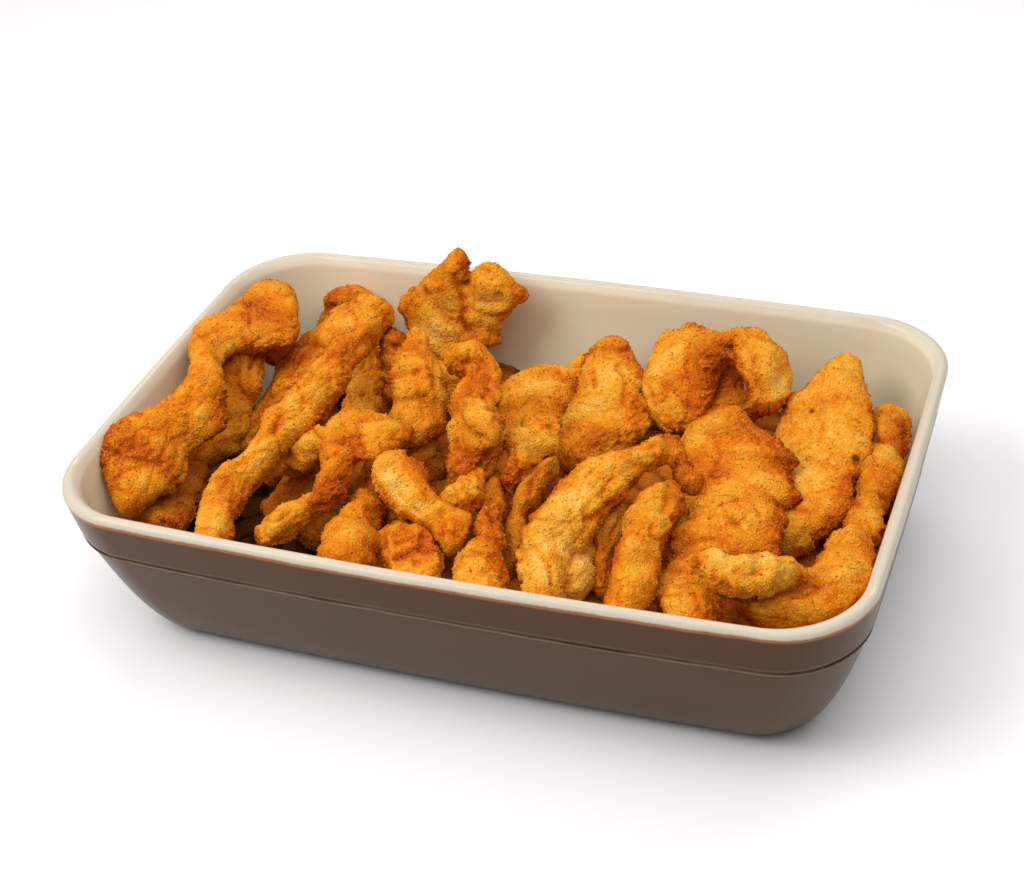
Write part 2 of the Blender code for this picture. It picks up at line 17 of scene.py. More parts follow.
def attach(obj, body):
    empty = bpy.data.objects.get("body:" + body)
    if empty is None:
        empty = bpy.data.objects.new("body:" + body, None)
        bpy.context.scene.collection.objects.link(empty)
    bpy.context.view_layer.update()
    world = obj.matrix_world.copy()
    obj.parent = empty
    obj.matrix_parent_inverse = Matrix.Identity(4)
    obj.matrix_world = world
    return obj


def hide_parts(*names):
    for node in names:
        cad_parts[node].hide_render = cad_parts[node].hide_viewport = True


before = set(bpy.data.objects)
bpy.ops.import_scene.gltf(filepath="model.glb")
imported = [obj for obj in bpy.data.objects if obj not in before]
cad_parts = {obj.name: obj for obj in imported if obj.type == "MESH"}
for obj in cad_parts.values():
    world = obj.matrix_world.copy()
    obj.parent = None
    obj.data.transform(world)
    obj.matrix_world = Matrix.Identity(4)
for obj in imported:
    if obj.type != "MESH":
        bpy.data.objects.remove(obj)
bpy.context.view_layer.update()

LOG = logging.getLogger("dish_of_chicken")
MM = 0.001
TINY = 1e-9


class Slot(Enum):
    """Material slots of the part's record."""

    CRUST = "golden_crust"
    GLAZE = "stoneware_glaze"


class Touch(Enum):
    """What a mark does to the crust round its path."""

    # A crease's browner inside is painted shade in the groove.
    CREASE = "a groove between two folds, browner inside"
    # A ridge's paler top is a painted highlight.
    RIDGE = "a raised fold, a little paler on top"
    # A swell's paleness is a painted highlight on its top.
    SWELL = "a smooth pale swelling"
    HOLLOW = "a wide shallow dip"
    # Brown marks are deeper frying in some places and painted shade in others.
    BROWN = "a deeper fried patch"
    # Pale marks are lighter frying in some places and a painted highlight in others.
    PALE = "a lightly fried patch"
    CRAG = "a rough browned clump of crust"
    FLECK = "a small dark burnt speck"


class Randomness:
    """Smooth random relief.

    Seeded random values sit on the corners of a repeating cubic lattice. Between the
    corners the value is blended with a fifth-power ease in each direction.
    """

    CELLS = 32

    def __init__(self, seed: int) -> None:
        """Draw the lattice.

        Args:
            seed: Number that fixes the draw.
        """
        rng = np.random.default_rng(seed)
        self.lattice = rng.uniform(-1.0, 1.0, self.CELLS**3).astype(np.float32)
        self.turn = np.linalg.qr(rng.normal(size=(3, 3)))[0].astype(np.float32)

    def at(self, points: np.ndarray, wavelength: float) -> np.ndarray:
        """Read the relief.

        Args:
            points: Places in millimetres, one row each.
            wavelength: Size of a lattice cell in millimetres.

        Returns:
            One value between -1 and 1 for each point.
        """
        spread = points.astype(np.float32) @ self.turn / wavelength + 11.37 * wavelength
        base = np.floor(spread)
        share = spread - base
        share = share * share * share * (share * (share * 6 - 15) + 10)
        low = base.astype(np.int64) % self.CELLS
        high = (low + 1) % self.CELLS
        row_low = low * (self.CELLS * self.CELLS, self.CELLS, 1)
        row_high = high * (self.CELLS * self.CELLS, self.CELLS, 1)
        x, y, z = share.T
        total = np.zeros(len(points), np.float32)
        for take_x, weight_x in ((row_low[:, 0], 1 - x), (row_high[:, 0], x)):
            for take_y, weight_y in ((row_low[:, 1], 1 - y), (row_high[:, 1], y)):
                for take_z, weight_z in ((row_low[:, 2], 1 - z), (row_high[:, 2], z)):
                    total += weight_x * weight_y * weight_z * self.lattice[take_x + take_y + take_z]
        return total


def unit(vectors: np.ndarray) -> np.ndarray:
    """Scale each row to length one."""
    return vectors / np.maximum(np.linalg.norm(vectors, axis=1), TINY)[:, None]


def ease(values: np.ndarray, low: float, high: float) -> np.ndarray:
    """Rise from 0 at low to 1 at high along a cubic that is level at both ends."""
    share = np.clip((values - low) / (high - low), 0, 1)
    return share * share * (3 - 2 * share)


def path_distance(points: np.ndarray, path: np.ndarray) -> np.ndarray:
    """Measure how far points are from a path of straight stretches.

    Each point is dropped on each stretch, held between its two ends, and the smallest
    of the distances counts.

    Args:
        points: Places in millimetres.
        path: Corners of the path, at least one.

    Returns:
        One distance for each point.
    """
    if len(path) == 1:
        return np.linalg.norm(points - path[0], axis=1)
    nearest = np.full(len(points), np.inf)
    for start, end in zip(path[:-1], path[1:]):
        step = end - start
        share = np.clip((points - start) @ step / max(step @ step, TINY), 0, 1)
        gap = np.linalg.norm(points - start - share[:, None] * step, axis=1)
        nearest = np.minimum(nearest, gap)
    return nearest


@dataclass
class Skin:
    """A closed surface of four-sided faces, in millimetres."""

    points: np.ndarray
    faces: np.ndarray

    def normals(self) -> np.ndarray:
        """Work out the outward direction at each point.

        A face's direction is the cross product of its diagonals, and a point's is the
        sum of its faces'.

        Returns:
            One row of length one for each point.
        """
        corners = self.points[self.faces]
        facing = np.cross(corners[:, 2] - corners[:, 0], corners[:, 3] - corners[:, 1])
        total = np.zeros_like(self.points)
        for axis in range(3):
            weights = np.repeat(facing[:, axis], 4)
            total[:, axis] = np.bincount(self.faces.ravel(), weights, len(self.points))
        return unit(total)

    def relax(self, rounds: int, share: float) -> None:
        """Move each point towards the mean of its neighbours.

        Args:
            rounds: Number of repeats.
            share: Part of the way that a point moves each time.
        """
        start = self.faces.ravel()
        end = np.roll(self.faces, -1, axis=1).ravel()
        count = np.maximum(np.bincount(start, minlength=len(self.points)), 1)[:, None]
        for _ in range(rounds):
            mean = np.column_stack([
                np.bincount(start, self.points[end, axis], len(self.points)) for axis in range(3)
            ]) / count
            self.points += share * (mean - self.points)

    def push(self, distance: np.ndarray) -> None:
        """Move each point along its outward direction, inwards where the distance is negative."""
        self.points = self.points + self.normals() * distance[:, None]


def closed_grid(rings: np.ndarray) -> Skin:
    """Join rings of points into a closed skin.

    The surface is a function of two parameters: the ring and the place along it. Each
    pair of neighbouring rings is joined by a band, and the first and last rings are
    drawn in to a pole.

    Args:
        rings: Array of ring, place and coordinate.

    Returns:
        The closed skin. Faces at the poles have two corners in one place.
    """
    count, around = rings.shape[:2]
    body = rings.reshape(-1, 3)
    poles = np.array([rings[0].mean(0), rings[-1].mean(0)])
    index = np.arange(count * around).reshape(count, around)
    ahead = np.roll(index, -1, axis=1)
    bands = np.stack((index[:-1], ahead[:-1], ahead[1:], index[1:]), axis=-1).reshape(-1, 4)
    first = np.full(around, count * around)
    last = first + 1
    first_cap = np.column_stack((first, ahead[0], index[0], first))
    last_cap = np.column_stack((last, index[-1], ahead[-1], last))
    return Skin(np.vstack((body, poles)), np.vstack((bands, first_cap, last_cap)))


BLOCK_CORNERS = np.array([
    (-1, -1, -1), (1, -1, -1), (1, 1, -1), (-1, 1, -1),
    (-1, -1, 1), (1, -1, 1), (1, 1, 1), (-1, 1, 1),
]) / np.sqrt(3)
BLOCK_FACES = np.array([
    (0, 3, 2, 1), (4, 5, 6, 7), (0, 1, 5, 4), (1, 2, 6, 5), (2, 3, 7, 6), (3, 0, 4, 7),
])


def mesh_from(name: str, skin: Skin, fields: dict[str, np.ndarray]) -> bpy.types.Mesh:
    """Write a skin and its fields to a mesh.

    Args:
        name: Name for the mesh.
        skin: Surface in millimetres.
        fields: One value for each point, by attribute name.

    Returns:
        The mesh, in metres, with its pole faces made three-sided.
    """
    mesh = bpy.data.meshes.new(name)
    flat = skin.faces[:, 0] == skin.faces[:, 3]
    quads = skin.faces[~flat]
    tris = skin.faces[flat][:, :3]
    corners = np.concatenate((quads.ravel(), tris.ravel())).astype(np.int32)
    starts = np.concatenate((np.arange(len(quads)) * 4, len(quads) * 4 + np.arange(len(tris)) * 3))
    mesh.vertices.add(len(skin.points))
    mesh.vertices.foreach_set("co", (skin.points * MM).astype(np.float32).ravel())
    mesh.loops.add(len(corners))
    mesh.loops.foreach_set("vertex_index", corners)
    mesh.polygons.add(len(starts))
    mesh.polygons.foreach_set("loop_start", starts.astype(np.int32))
    mesh.update(calc_edges=True)
    mesh.validate()
    mesh.shade_smooth()
    for key, values in fields.items():
        attribute = mesh.attributes.new(key, "FLOAT", "POINT")
        attribute.data.foreach_set("value", values.astype(np.float32))
    return mesh


def show(name: str, mesh: bpy.types.Mesh, material: bpy.types.Material,
         nodes: tuple[str, ...]) -> bpy.types.Object:
    """Put a finished piece in the scene, on the part's one body.

    Args:
        name: Name for the piece.
        mesh: Its mesh, in the part's frame.
        material: Its finish.
        nodes: Solids that it stands for.

    Returns:
        The piece.
    """
    piece = bpy.data.objects.new(name, mesh)
    bpy.context.scene.collection.objects.link(piece)
    piece.data.materials.append(material)
    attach(piece, "root")
    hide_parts(*nodes)
    LOG.info("%s: %d faces, stands for %s", name, len(mesh.polygons), ", ".join(nodes))
    return piece


def smooth_path(at: np.ndarray, knots: np.ndarray, values: np.ndarray) -> np.ndarray:
    """Read a smooth curve through values at knots.

    Between two knots the curve is the cubic that has their values and slopes.

    Args:
        at: Places to read, from the first knot to the last.
        knots: Rising places of the values.
        values: One row for each knot.

    Returns:
        One row for each place read.
    """
    slopes = np.gradient(values, knots, axis=0)
    cell = np.clip(np.searchsorted(knots, at, side="right") - 1, 0, len(knots) - 2)
    width = (knots[cell + 1] - knots[cell])[:, None]
    s = (at[:, None] - knots[cell][:, None]) / width
    return ((2 * s**3 - 3 * s**2 + 1) * values[cell]
            + (s**3 - 2 * s**2 + s) * width * slopes[cell]
            + (3 * s**2 - 2 * s**3) * values[cell + 1]
            + (s**3 - s**2) * width * slopes[cell + 1])


def waves(at: np.ndarray, phases: np.ndarray) -> np.ndarray:
    """Sum three sines of rising frequency along a lobe, for an uneven edge."""
    return (np.sin(2 * np.pi * at[:, None] * (2.3, 4.1, 6.7) + phases) * (0.55, 0.35, 0.2)).sum(1)


@dataclass
class Lobe:
    """One strip of meat in its crust, between a left and a right edge."""

    stations: np.ndarray
    thickness: float
    cup: float
    seed: int
    edge_power: float = 0.85
    face_power: float = 0.62
    edge_thinning: float = 0.45
    slim_share: float = 0.8
    slim_base: float = 1.2
    end_rounding: float = 0.5
    edge_wave: float = 0.14
    face_lumps: float = 0.12
    strand_share: float = 0.28
    row_spacing: float = 1.5
    around: int = 56

    def spine(self, rows: int) -> tuple[np.ndarray, ...]:
        """Follow the middle of the lobe.

        The two edges are smooth curves through the stations. The middle is half way
        between them, and the facing is square to the way along and the way across.

        Args:
            rows: Number of places along the lobe.

        Returns:
            Share along, middle, half width as a vector, facing, and the length.
        """
        left, right = self.stations[:, :3], self.stations[:, 3:]
        steps = np.linalg.norm(np.diff((left + right) / 2, axis=0), axis=1)
        length = steps.sum()
        knots = np.concatenate(([0.0], np.cumsum(steps))) / length
        even = np.linspace(0, 1, rows)
        u = 0.65 * even + 0.35 * (0.5 - 0.5 * np.cos(np.pi * even))
        edge_a = smooth_path(u, knots, left)
        edge_b = smooth_path(u, knots, right)
        middle = (edge_a + edge_b) / 2
        half = (edge_b - edge_a) / 2
        along = unit(np.gradient(middle, u, axis=0))
        facing = unit(np.cross(along, unit(half)))
        return u, middle, half, facing, length

    def surface(self, relief: Randomness, frill: float) -> Skin:
        """Lay the lobe's crust.

        Round each place along the spine runs a flattened oval, thinner at its edges,
        that shrinks to a point over both ends. Sines move its edges and faces, and the
        edges also carry a frill of short random waves.

        Args:
            relief: Random values for the frill.
            frill: Depth of the frill in millimetres.

        Returns:
            The lobe as a closed skin.
        """
        rough = np.linalg.norm(np.diff(self.stations.reshape(-1, 2, 3).mean(1), axis=0), axis=1).sum()
        rows = int(np.clip(rough / self.row_spacing, 24, 130))
        u, middle, half, facing, length = self.spine(rows)
        width = np.linalg.norm(half, axis=1)
        start = min(0.45, self.end_rounding * width[: max(rows // 8, 1)].mean() / length + 0.02)
        end = min(0.45, self.end_rounding * width[-max(rows // 8, 1):].mean() / length + 0.02)
        nearest = np.minimum(np.minimum(u / start, (1 - u) / end), 1)
        cap = np.sqrt(np.clip(1 - (1 - nearest) ** 2, 0, 1))

        rng = np.random.default_rng(self.seed)
        phases = rng.uniform(0, 2 * np.pi, (2, 3))
        lump_phase = rng.uniform(0, 2 * np.pi, 2)
        phi = np.linspace(0, 2 * np.pi, self.around, endpoint=False)
        across = np.sign(np.cos(phi)) * np.abs(np.cos(phi)) ** self.edge_power
        up = np.sign(np.sin(phi)) * np.abs(np.sin(phi)) ** self.face_power
        side = np.where(across < 0, -1.0, 1.0)
        wave = np.where(across < 0, waves(u, phases[0])[:, None], waves(u, phases[1])[:, None])

        place = np.stack(np.broadcast_arrays(u[:, None] * length, 40 * side, self.seed * 9.0), axis=-1)
        short = relief.at(place.reshape(-1, 3), 4.6).reshape(rows, -1)
        shorter = relief.at(place.reshape(-1, 3), 2.3).reshape(rows, -1)
        rim = np.abs(across) ** 3
        frill_out = frill * (1.9 * short + 1.0 * shorter - 0.45) * rim
        frill_up = frill * relief.at(place.reshape(-1, 3) + 300, 6.5).reshape(rows, -1) * rim

        sideways = (across * (1 + self.edge_wave * wave) + side * frill_out / width[:, None]) * cap[:, None]
        lumps = 1 + self.face_lumps * (
            np.sin(2 * np.pi * 3.1 * u[:, None] + lump_phase[0] + 2 * across)
            + np.sin(2 * np.pi * 5.3 * u[:, None] + lump_phase[1] - 1.5 * across))
        half_depth = np.minimum(self.thickness / 2, self.slim_share * width + self.slim_base)[:, None]
        depth = half_depth * (1 - self.edge_thinning * np.abs(across) ** 2.2)
        lift = up * depth * lumps * cap[:, None] ** 0.7 + 1.2 * frill_up * cap[:, None]
        lift = lift + self.cup * width[:, None] * (across**2 - 0.35) * cap[:, None]
        rings = middle[:, None] + sideways[..., None] * half[:, None] + lift[..., None] * facing[:, None]
        return closed_grid(rings)

    def follow(self, points: np.ndarray) -> tuple[np.ndarray, np.ndarray]:
        """Tell how near points lie to the lobe's edges and ends, and where along its strands.

        Each point is dropped on its nearest place of the spine. The larger of its share
        of the half width and its nearness to an end counts.

        Args:
            points: Places in millimetres.

        Returns:
            The share, which is 0 on the middle, about 1 on the edge and 9 off the lobe,
            and the distances along, across and out in millimetres, the first shortened.
        """
        u, middle, half, facing, length = self.spine(70)
        width = np.linalg.norm(half, axis=1)
        gaps = ((points[:, None, :] - middle[None]) ** 2).sum(-1)
        nearest = gaps.argmin(1)
        local = points - middle[nearest]
        across = (local * half[nearest]).sum(1) / width[nearest]
        lift = (local * facing[nearest]).sum(1)
        along = u[nearest] * length
        ends = 1 - np.minimum(along, length - along) / (0.55 * width[nearest])
        share = np.maximum(np.abs(across) / width[nearest], ends)
        off = (np.abs(lift) > self.thickness * 0.5 + self.cup * width[nearest] + 3.5) | (share > 1.5)
        strands = np.column_stack((self.strand_share * along + 60 * self.seed, across, lift))
        return np.where(off, 9.0, share), strands


@dataclass(frozen=True)
class Mark:
    """Something that shows on one piece's crust, round a path with at least one corner."""

    touch: Touch
    width: float
    strength: float
    path: tuple[tuple[int, int, int], ...]


def make_mark(touch: Touch, width: float, strength: float, *path: tuple[int, int, int]) -> Mark:
    """Make a mark from its path's corners, given one after another."""
    return Mark(touch, width, strength, path)


crease, ridge, swell, hollow, brown, pale, crag, fleck = (partial(make_mark, touch) for touch in Touch)


@dataclass
class Crust:
    """A piece's crust while it is dressed, with one value for each point of its skin."""

    skin: Skin
    edge: np.ndarray
    height: np.ndarray
    # shade is the browning, with painted shade and painted highlights mixed in
    shade: np.ndarray
    craggy: np.ndarray
    # dark holds burnt flecks and painted shade
    dark: np.ndarray

    def press(self, mark: Mark, wobble: np.ndarray) -> None:
        """Change the crust in a bell round a mark's path.

        Args:
            mark: What shows there.
            wobble: Factor on the mark's width at each point, for an uneven border.
        """
        gap = path_distance(self.skin.points, np.array(mark.path, dtype=float))
        bell = np.exp(-((gap / (mark.width * wobble)) ** 2))
        if mark.touch is Touch.CREASE:
            line = np.exp(-((gap / (0.62 * mark.width * wobble)) ** 2))
            self.height = self.height - 1.1 * mark.strength * line
            # Painted shade: the groove is coloured browner.
            self.shade = self.shade + 0.28 * line
        elif mark.touch is Touch.RIDGE:
            self.height = self.height + mark.strength * bell
            # Painted highlight: the ridge's top is coloured paler.
            self.shade = self.shade - 0.06 * bell
        elif mark.touch is Touch.SWELL:
            self.height = self.height * (1 - 0.3 * bell) + 0.5 * mark.strength * bell
            # Painted highlight: the swell is coloured paler.
            self.shade = self.shade * (1 - 0.45 * bell)
            self.craggy = self.craggy * (1 - bell)
        elif mark.touch is Touch.HOLLOW:
            self.height = self.height - mark.strength * bell
        elif mark.touch is Touch.BROWN:
            # Deeper frying, and painted shade where a brown mark stands for a shadow.
            self.shade = self.shade + 0.75 * mark.strength * bell
        elif mark.touch is Touch.PALE:
            # Lighter frying, and a painted highlight where a pale mark stands for one.
            self.shade = self.shade * (1 - mark.strength * bell)
            self.craggy = self.craggy * (1 - bell)
        elif mark.touch is Touch.CRAG:
            self.craggy = np.maximum(self.craggy, mark.strength * bell)
        elif mark.touch is Touch.FLECK:
            fleck_share = ease(mark.width * wobble - gap, -0.5, 0.5)
            self.dark = np.maximum(self.dark, mark.strength * fleck_share)

    def roughen(self, fine: Randomness, place: np.ndarray) -> None:
        """Move the skin by its crags and grit, and brown it where it is craggy.

        Crags are short random waves turned over where they cross zero, which leaves sharp
        crests. Grit is made of the shortest waves.

        Args:
            fine: Random values.
            place: Where to read them for each point.
        """
        ragged = 1 - 2 * np.abs(fine.at(place, 3.4))
        ragged_small = 1 - 2 * np.abs(fine.at(place + 90, 1.9))
        grit = fine.at(place + 400, 1.5)
        crags = self.craggy * (1.3 * (ragged - 0.5) + 0.8 * (ragged_small - 0.5))
        self.skin.push(crags + (0.20 + 0.2 * self.craggy) * grit + 0.16 * fine.at(place + 250, 2.5))
        shade = self.shade + self.craggy * (0.10 + 0.10 * ragged) + 0.05 * grit
        self.shade = np.where(shade > 0.5, 0.5 + 0.3 * np.tanh((shade - 0.5) / 0.3), shade)


@dataclass(frozen=True)
class CrumbCoat:
    """Breadcrumbs that stand out of the crust, laid thickest along the edges."""

    on_square: float = 0.20
    edge_gain: float = 2.0
    small: float = 0.24
    large: float = 0.58

    def scatter(self, skin: Skin, edge: np.ndarray, fields: dict[str, np.ndarray],
                seed: int) -> tuple[Skin, dict[str, np.ndarray]]:
        """Lay crumbs on a skin.

        A crumb is a block whose eight corners lie near a ball, turned at random. A point
        gets one where a random value is below its own area times the crumbs on a square
        millimetre.

        Args:
            skin: Surface that carries them.
            edge: Nearness to the piece's edge, about 1 on it.
            fields: Colour fields of the surface.
            seed: Seed of the random values.

        Returns:
            The surface with its crumbs, and the fields of both.
        """
        rng = np.random.default_rng(seed)
        corners = skin.points[skin.faces]
        sides = np.cross(corners[:, 2] - corners[:, 0], corners[:, 3] - corners[:, 1])
        area = np.linalg.norm(sides, axis=1) / 8
        share = np.bincount(skin.faces.ravel(), np.repeat(area, 4), len(skin.points))
        chance = share * self.on_square * (1 + self.edge_gain * ease(edge, 0.55, 1.0))
        chosen = np.flatnonzero(rng.random(len(chance)) < chance)
        count = len(chosen)
        size = self.small + (self.large - self.small) * rng.random(count) ** 2
        first = unit(rng.normal(size=(count, 3)))
        second = unit(np.cross(first, rng.normal(size=(count, 3))))
        turn = np.stack((first, second, np.cross(first, second)), axis=1)
        block = BLOCK_CORNERS * rng.uniform(0.7, 1.2, (count, 8, 1)) * rng.uniform(0.6, 1.1, (count, 1, 3))
        centre = skin.points[chosen] + skin.normals()[chosen] * (0.35 * size)[:, None]
        points = centre[:, None] + size[:, None, None] * np.einsum("ijk,ikl->ijl", block, turn)
        faces = BLOCK_FACES + 8 * np.arange(count)[:, None, None] + len(skin.points)
        tint = {"browning_and_painted_light": rng.uniform(-0.36, 0.22, count)}
        joined = {key: np.concatenate((values, np.repeat(values[chosen] + tint.get(key, 0), 8)))
                  for key, values in fields.items()}
        joined["browning_and_painted_light"] = np.clip(joined["browning_and_painted_light"], 0, 1)
        return Skin(np.vstack((skin.points, points.reshape(-1, 3))),
                    np.vstack((skin.faces, faces.reshape(-1, 4)))), joined


@dataclass(frozen=True)
class BreadedPiece:
    """One piece of fried breaded chicken.

    Each lobe is a row of stations, and a station is a point on the left edge and one on
    the right edge. Browning, frill, puff and painted shade tell how it differs from the
    rest. The painted shade darkens a piece that lies deep in the heap, where shade falls.
    """

    name: str
    thickness: float
    lobes: tuple
    marks: tuple[Mark, ...] = ()
    cup: float = 0.0
    browning_and_painted_light: float = 0.0
    frill: float = 1.0
    puff: float = 1.0
    # Painted shade: darkens a piece that lies deep in the heap.
    painted_shade: float = 0.0
    voxel: float = 0.72
    seed: int = 0

    def body(self, relief: Randomness) -> tuple[Skin, list[Lobe]]:
        """Fuse the piece's lobes into one even skin.

        The lobes are laid in one mesh, and a voxel remesh gives their common outside.

        Args:
            relief: Random values for the frills.

        Returns:
            The skin and the lobes.
        """
        lobes = [Lobe(np.array(rows, dtype=float), self.thickness, self.cup, 7 * self.seed + index)
                 for index, rows in enumerate(self.lobes)]
        skins = [lobe.surface(relief, self.frill) for lobe in lobes]
        offsets = np.cumsum([0] + [len(skin.points) for skin in skins[:-1]])
        joined = Skin(np.vstack([skin.points for skin in skins]),
                      np.vstack([skin.faces + offset for skin, offset in zip(skins, offsets)]))
        rough = bpy.data.objects.new("rough", mesh_from("rough", joined, {}))
        bpy.context.scene.collection.objects.link(rough)
        remesh = rough.modifiers.new("voxels", "REMESH")
        remesh.mode = "VOXEL"
        remesh.voxel_size = self.voxel * MM
        evaluated = rough.evaluated_get(bpy.context.evaluated_depsgraph_get())
        mesh = evaluated.to_mesh()
        points = np.empty(len(mesh.vertices) * 3)
        mesh.vertices.foreach_get("co", points)
        faces = np.empty(len(mesh.loops), dtype=np.int32)
        mesh.loops.foreach_get("vertex_index", faces)
        evaluated.to_mesh_clear()
        bpy.data.objects.remove(rough)
        skin = Skin(points.reshape(-1, 3) / MM, faces.reshape(-1, 4).astype(np.int64))
        skin.relax(2, 0.45)
        return skin, lobes

    def rise(self, relief: Randomness, fine: Randomness) -> Crust:
        """Raise the crust's puffs and folds, and work out how brown it is.

        Puffs are the size of a random value, so that their borders are sharp valleys.
        Folds and grooves are narrow bells where such a value crosses zero. Strands are
        the same in places drawn out along the piece. The edges are craggy and browner.

        Args:
            relief: Random values for the larger forms.
            fine: Random values for the smaller ones.

        Returns:
            The crust, not yet moved.
        """
        skin, lobes = self.body(relief)
        start = skin.points + self.seed * 37.0
        shares, ways = map(np.array, zip(*[lobe.follow(skin.points) for lobe in lobes]))
        owner = shares.argmin(axis=0)
        rows = np.arange(len(owner))
        edge = np.minimum(shares[owner, rows], 1.2)

        strand = relief.at(ways[owner, rows], 5.0)
        swelling = relief.at(start, 13.0)
        small_swelling = relief.at(start + 500, 6.0)
        strand_puff, puff, small_puff, tiny_puff = (
            np.sqrt(np.abs(value) + 0.01)
            for value in (strand, swelling, small_swelling, fine.at(start + 300, 3.6)))
        fold = np.exp(-((swelling / 0.07) ** 2)) * ease(relief.at(start + 640, 19.0), -0.25, 0.15)
        small_fold = np.exp(-((small_swelling / 0.08) ** 2)) * ease(relief.at(start + 820, 11.0), -0.1, 0.25)
        groove = np.exp(-((strand / 0.08) ** 2)) * ease(relief.at(start + 60, 17.0), -0.15, 0.25)

        height = self.puff * (0.8 * (puff - 0.5) + 0.5 * (small_puff - 0.5)) + 0.3 * (tiny_puff - 0.5)
        height = height + self.puff * (0.8 * (strand_puff - 0.5) - 0.55 * groove) + 0.05
        height = height - self.puff * (0.55 * fold + 0.3 * small_fold)
        # Painted shade: folds and grooves are coloured browner. Painted shade and highlight: the valleys
        # between puffs are coloured browner and the puffs' tops paler.
        shade = 0.38 + self.browning_and_painted_light + 0.12 * fold + 0.10 * small_fold + 0.12 * groove
        shade = shade + 0.16 * (0.55 - puff) + 0.14 * (0.5 - small_puff) + 0.10 * (0.5 - tiny_puff)
        shade = shade + 0.16 * relief.at(start + 900, 24.0) + 0.10 * relief.at(start + 200, 9.0)
        shade = shade + 0.22 * ease(edge + 0.4 * relief.at(start + 700, 17.0), 0.8, 1.12)
        craggy = 0.8 * ease(edge + 0.45 * relief.at(start + 77, 8.0), 0.86, 1.15)
        # The dark field starts at the piece's painted shade.
        return Crust(skin, edge, height, shade, craggy, np.full(len(start), self.painted_shade))

    def dress(self, relief: Randomness, fine: Randomness) -> tuple[Skin, dict[str, np.ndarray]]:
        """Finish the crust with the piece's own marks, crags and crumbs.

        Args:
            relief: Random values for the larger forms.
            fine: Random values for the smaller ones.

        Returns:
            The finished skin and its colour fields.
        """
        crust = self.rise(relief, fine)
        wobble = 1 + 0.35 * relief.at(crust.skin.points + self.seed * 37.0 + 40, 7.0)
        for mark in self.marks:
            crust.press(mark, wobble)
        crust.skin.push(crust.height)
        crust.skin.relax(1, 0.3)
        crust.roughen(fine, crust.skin.points + self.seed * 53.0)
        # This field holds burnt flecks and painted shade together.
        fields = {"browning_and_painted_light": np.clip(crust.shade, 0, 1), "char_and_painted_shade": crust.dark}
        return CrumbCoat().scatter(crust.skin, crust.edge, fields, self.seed)

    def build(self, dish: "StonewareDish", relief: Randomness, fine: Randomness,
              material: bpy.types.Material) -> bpy.types.Object:
        """Make the piece and put it in the scene.

        Args:
            dish: The dish whose wall it stays inside.
            relief: Random values for the larger forms.
            fine: Random values for the smaller ones.
            material: The crust's finish.

        Returns:
            The piece.
        """
        skin, fields = self.dress(relief, fine)
        skin.points = dish.keep_inside(skin.points)
        mesh = mesh_from(self.name + "_crust", skin, fields)
        return show(self.name + "_crust", mesh, material, (self.name,))


